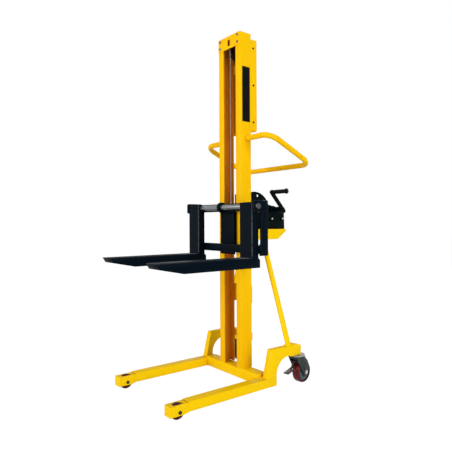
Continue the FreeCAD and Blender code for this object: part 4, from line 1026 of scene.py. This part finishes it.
beam_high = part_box("cross_beam")[1]
leg_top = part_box("leg_right")[1].z
shelf_low, shelf_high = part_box("winch_bracket")
mast_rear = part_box("mast_rail_right")[1].y
for k, side in ((1, "right"), (-1, "left")):
    seam("mast_foot_seam_" + side, (k * mast_side, mast_front + SEAM_SHORT, beam_high.z),
         (k * mast_side, beam_high.y - 0.002, beam_high.z))
    seam("beam_end_seam_" + side, (k * beam_high.x, mast_front + SEAM_SHORT, leg_top),
         (k * beam_high.x, beam_high.y - SEAM_SHORT, leg_top))
    seam("shelf_seam_" + side, (k * shelf_high.x, mast_rear, shelf_low.z + SEAM_SHORT),
         (k * shelf_high.x, mast_rear, shelf_high.z - SEAM_SHORT))
    house_low, house_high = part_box("roller_housing_" + side)
    leg_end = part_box("leg_" + side)[0].y
    for out in ("inner", "outer"):
        x = house_high.x if (out == "outer") == (k > 0) else house_low.x
        seam("housing_seam_%s_%s" % (out, side), (x, leg_end, house_low.z + 0.008),
             (x, leg_end, house_high.z - 0.001), HOUSING_SEAM, base_yellow)
    ring = lathe("handle_seam_" + side, HANDLE_SEAM, steps=40, closed=True)
    put(ring, along((k, 0, 0), (k * mast_side, front_bar.y, front_bar.z)))
    joins(ring, "frame", "yellow_paint")
print("weld seams laid")

# %% [markdown]
# ## Plain panel and leg plugs
#
# The right side of the mast carries a long dark film, thin and flat with small round corners. It is a
# plane stretched to size, its corners bevelled, then extruded by half a millimetre. The open rear ends
# of the two legs are closed by plastic plugs with a sunk middle, set a little below the rim.

# %% Panel film
made = Finish("dark_panel_film", Specular_IOR_Level=0.04)
grime = ramp(noise(made.flow, made.flow, 26.0, 5.0), 0.45, 0.75)
made.set("Base Color", blend(grime * 0.5, (0.0022, 0.0022, 0.0020, 1), (0.006, 0.0055, 0.004, 1)))
made.set("Roughness", 0.32 + grime * 0.2)
made.bump(noise(made.flow, made.flow, 160.0, 2.0), 0.06, 0.0003)
panel_film = made.material

PANEL_FRONT, PANEL_REAR = 0.014, 0.073
PANEL_LOW, PANEL_HIGH = 1.537, 1.861
PANEL_CORNER, PANEL_THICK = 0.003, 0.0005
bpy.ops.object.select_all(action="DESELECT")
bpy.ops.mesh.primitive_plane_add(size=1, location=(0, 0, 0), rotation=(0, math.radians(90), 0))
panel = added("mast_side_panel")
bpy.ops.object.transform_apply(location=True, rotation=True, scale=True)
edit(panel)
bpy.ops.transform.resize(value=(1, PANEL_REAR - PANEL_FRONT, PANEL_HIGH - PANEL_LOW))
bpy.ops.mesh.bevel(offset=PANEL_CORNER, segments=4, affect="VERTICES")
bpy.ops.mesh.select_all(action="SELECT")
bpy.ops.mesh.extrude_region_move(TRANSFORM_OT_translate={"value": (PANEL_THICK, 0, 0)})
bpy.ops.mesh.select_all(action="SELECT")
bpy.ops.mesh.normals_make_consistent(inside=False)
bpy.ops.object.mode_set(mode="OBJECT")
put(panel, Matrix.Translation((mast_side, mast_front + (PANEL_FRONT + PANEL_REAR) / 2,
                               (PANEL_LOW + PANEL_HIGH) / 2)))
joins(panel, "frame", "yellow_paint", panel_film)

# %% Leg plugs
PLUG_SINK = 0.0015
PLUG_ROOM = 0.0084
PLUG_BORDER, PLUG_SLOPE, PLUG_DISH = 0.006, 0.0015, 0.003
PLUG_WALL = 0.004
for side in ("left", "right"):
    low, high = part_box("leg_" + side)
    bpy.ops.object.select_all(action="DESELECT")
    bpy.ops.mesh.primitive_plane_add(size=1, location=(0, 0, 0), rotation=(math.radians(-90), 0, 0))
    plug = added("leg_plug_" + side)
    bpy.ops.object.transform_apply(location=True, rotation=True, scale=True)
    edit(plug)
    bpy.ops.transform.resize(value=(high.x - low.x - PLUG_ROOM, 1, high.z - low.z - PLUG_ROOM))
    bpy.ops.mesh.select_mode(type="FACE")
    bpy.ops.mesh.inset(thickness=PLUG_BORDER, depth=0)
    bpy.ops.mesh.inset(thickness=PLUG_SLOPE, depth=-PLUG_DISH)
    bpy.ops.object.mode_set(mode="OBJECT")
    modified(plug, "SOLIDIFY", thickness=PLUG_WALL, offset=-1)
    modified(plug, "BEVEL", width=0.0006, segments=2, limit_method="ANGLE", angle_limit=math.radians(40))
    smooth(plug)
    put(plug, Matrix.Translation(((low.x + high.x) / 2, high.y - PLUG_SINK, (low.z + high.z) / 2)))
    joins(plug, "frame", "grip_plastic")
print("panel and leg plugs made")

# %% [markdown]
# ## Light and floor
#
# A product picture has one broad soft lamp, weaker ones in front, above and behind, and a pale surround
# that fills the shadows. The floor and the surround have to come out white without pouring more light
# on the paint, so for rays from the camera, off mirrors and through glass, they shine at about
# strength one.

# %% Studio
SURROUND_FILL = 0.11
FLOOR_SIDE, FLOOR_SHINE, FLOOR_SHARE = 60, 1.10, 0.9


def looked_at(tree):
    """One for rays from the camera, off a mirror or through glass; zero for light on the object."""
    path = tree.nodes.new("ShaderNodeLightPath").outputs
    kinds = [Flow(tree, path["Is %s Ray" % kind]) for kind in ("Camera", "Glossy", "Transmission")]
    return kinds[0] + kinds[1] + kinds[2] > 0.5


def area_lamp(name, place, target, side, watts, colour=(1, 1, 1)):
    data = bpy.data.lights.new(name, "AREA")
    data.shape = "DISK"
    data.size = side
    data.energy = watts
    data.color = colour
    lamp = bpy.data.objects.new(name, data)
    bpy.context.scene.collection.objects.link(lamp)
    lamp.location = place
    lamp.rotation_euler = (Vector(target) - Vector(place)).to_track_quat("-Z", "Y").to_euler()


area_lamp("key_lamp", (8.4, -1.0, 2.8), (0, 0, 1.0), 6.0, 585.0, (0.97, 1.0, 0.98))
area_lamp("fill_lamp", (-2.6, -7.2, 2.4), (0, 0, 1.0), 5.0, 420.0, (1.0, 0.93, 0.86))
area_lamp("top_lamp", (0, -1.5, 7.0), (0, 0, 0), 5.0, 90.0)
area_lamp("back_lamp", (-1.5, 7.5, 2.6), (0, 0, 1.0), 5.0, 240.0)

world = bpy.data.worlds.new("surround")
bpy.context.scene.world = world
world.use_nodes = True
sky = world.node_tree.nodes["Background"]
strength = SURROUND_FILL + looked_at(world.node_tree) * (1 - SURROUND_FILL)
world.node_tree.links.new(strength.socket, sky.inputs["Strength"])
sky.inputs["Color"].default_value = (1, 1, 1, 1)

bpy.ops.object.select_all(action="DESELECT")
bpy.ops.mesh.primitive_plane_add(size=FLOOR_SIDE, location=(0, 0, 0))
floor = bpy.context.active_object
floor.name = "floor"
floor_paint = bpy.data.materials.new("pale_floor")
floor_paint.use_nodes = True
tree = floor_paint.node_tree
matt = tree.nodes["Principled BSDF"]
matt.inputs["Base Color"].default_value = (0.8, 0.8, 0.8, 1)
matt.inputs["Roughness"].default_value = 0.9
matt.inputs["Specular IOR Level"].default_value = 0.0
shine = tree.nodes.new("ShaderNodeEmission")
mix = tree.nodes.new("ShaderNodeMixShader")
shine.inputs["Strength"].default_value = FLOOR_SHINE
tree.links.new((looked_at(tree) * FLOOR_SHARE).socket, mix.inputs[0])
tree.links.new(matt.outputs[0], mix.inputs[1])
tree.links.new(shine.outputs[0], mix.inputs[2])
tree.links.new(mix.outputs[0], tree.nodes["Material Output"].inputs["Surface"])
dress(floor, floor_paint)
bpy.context.scene.view_settings.view_transform = "Standard"
print("studio:", len(bpy.data.lights), "lamps")
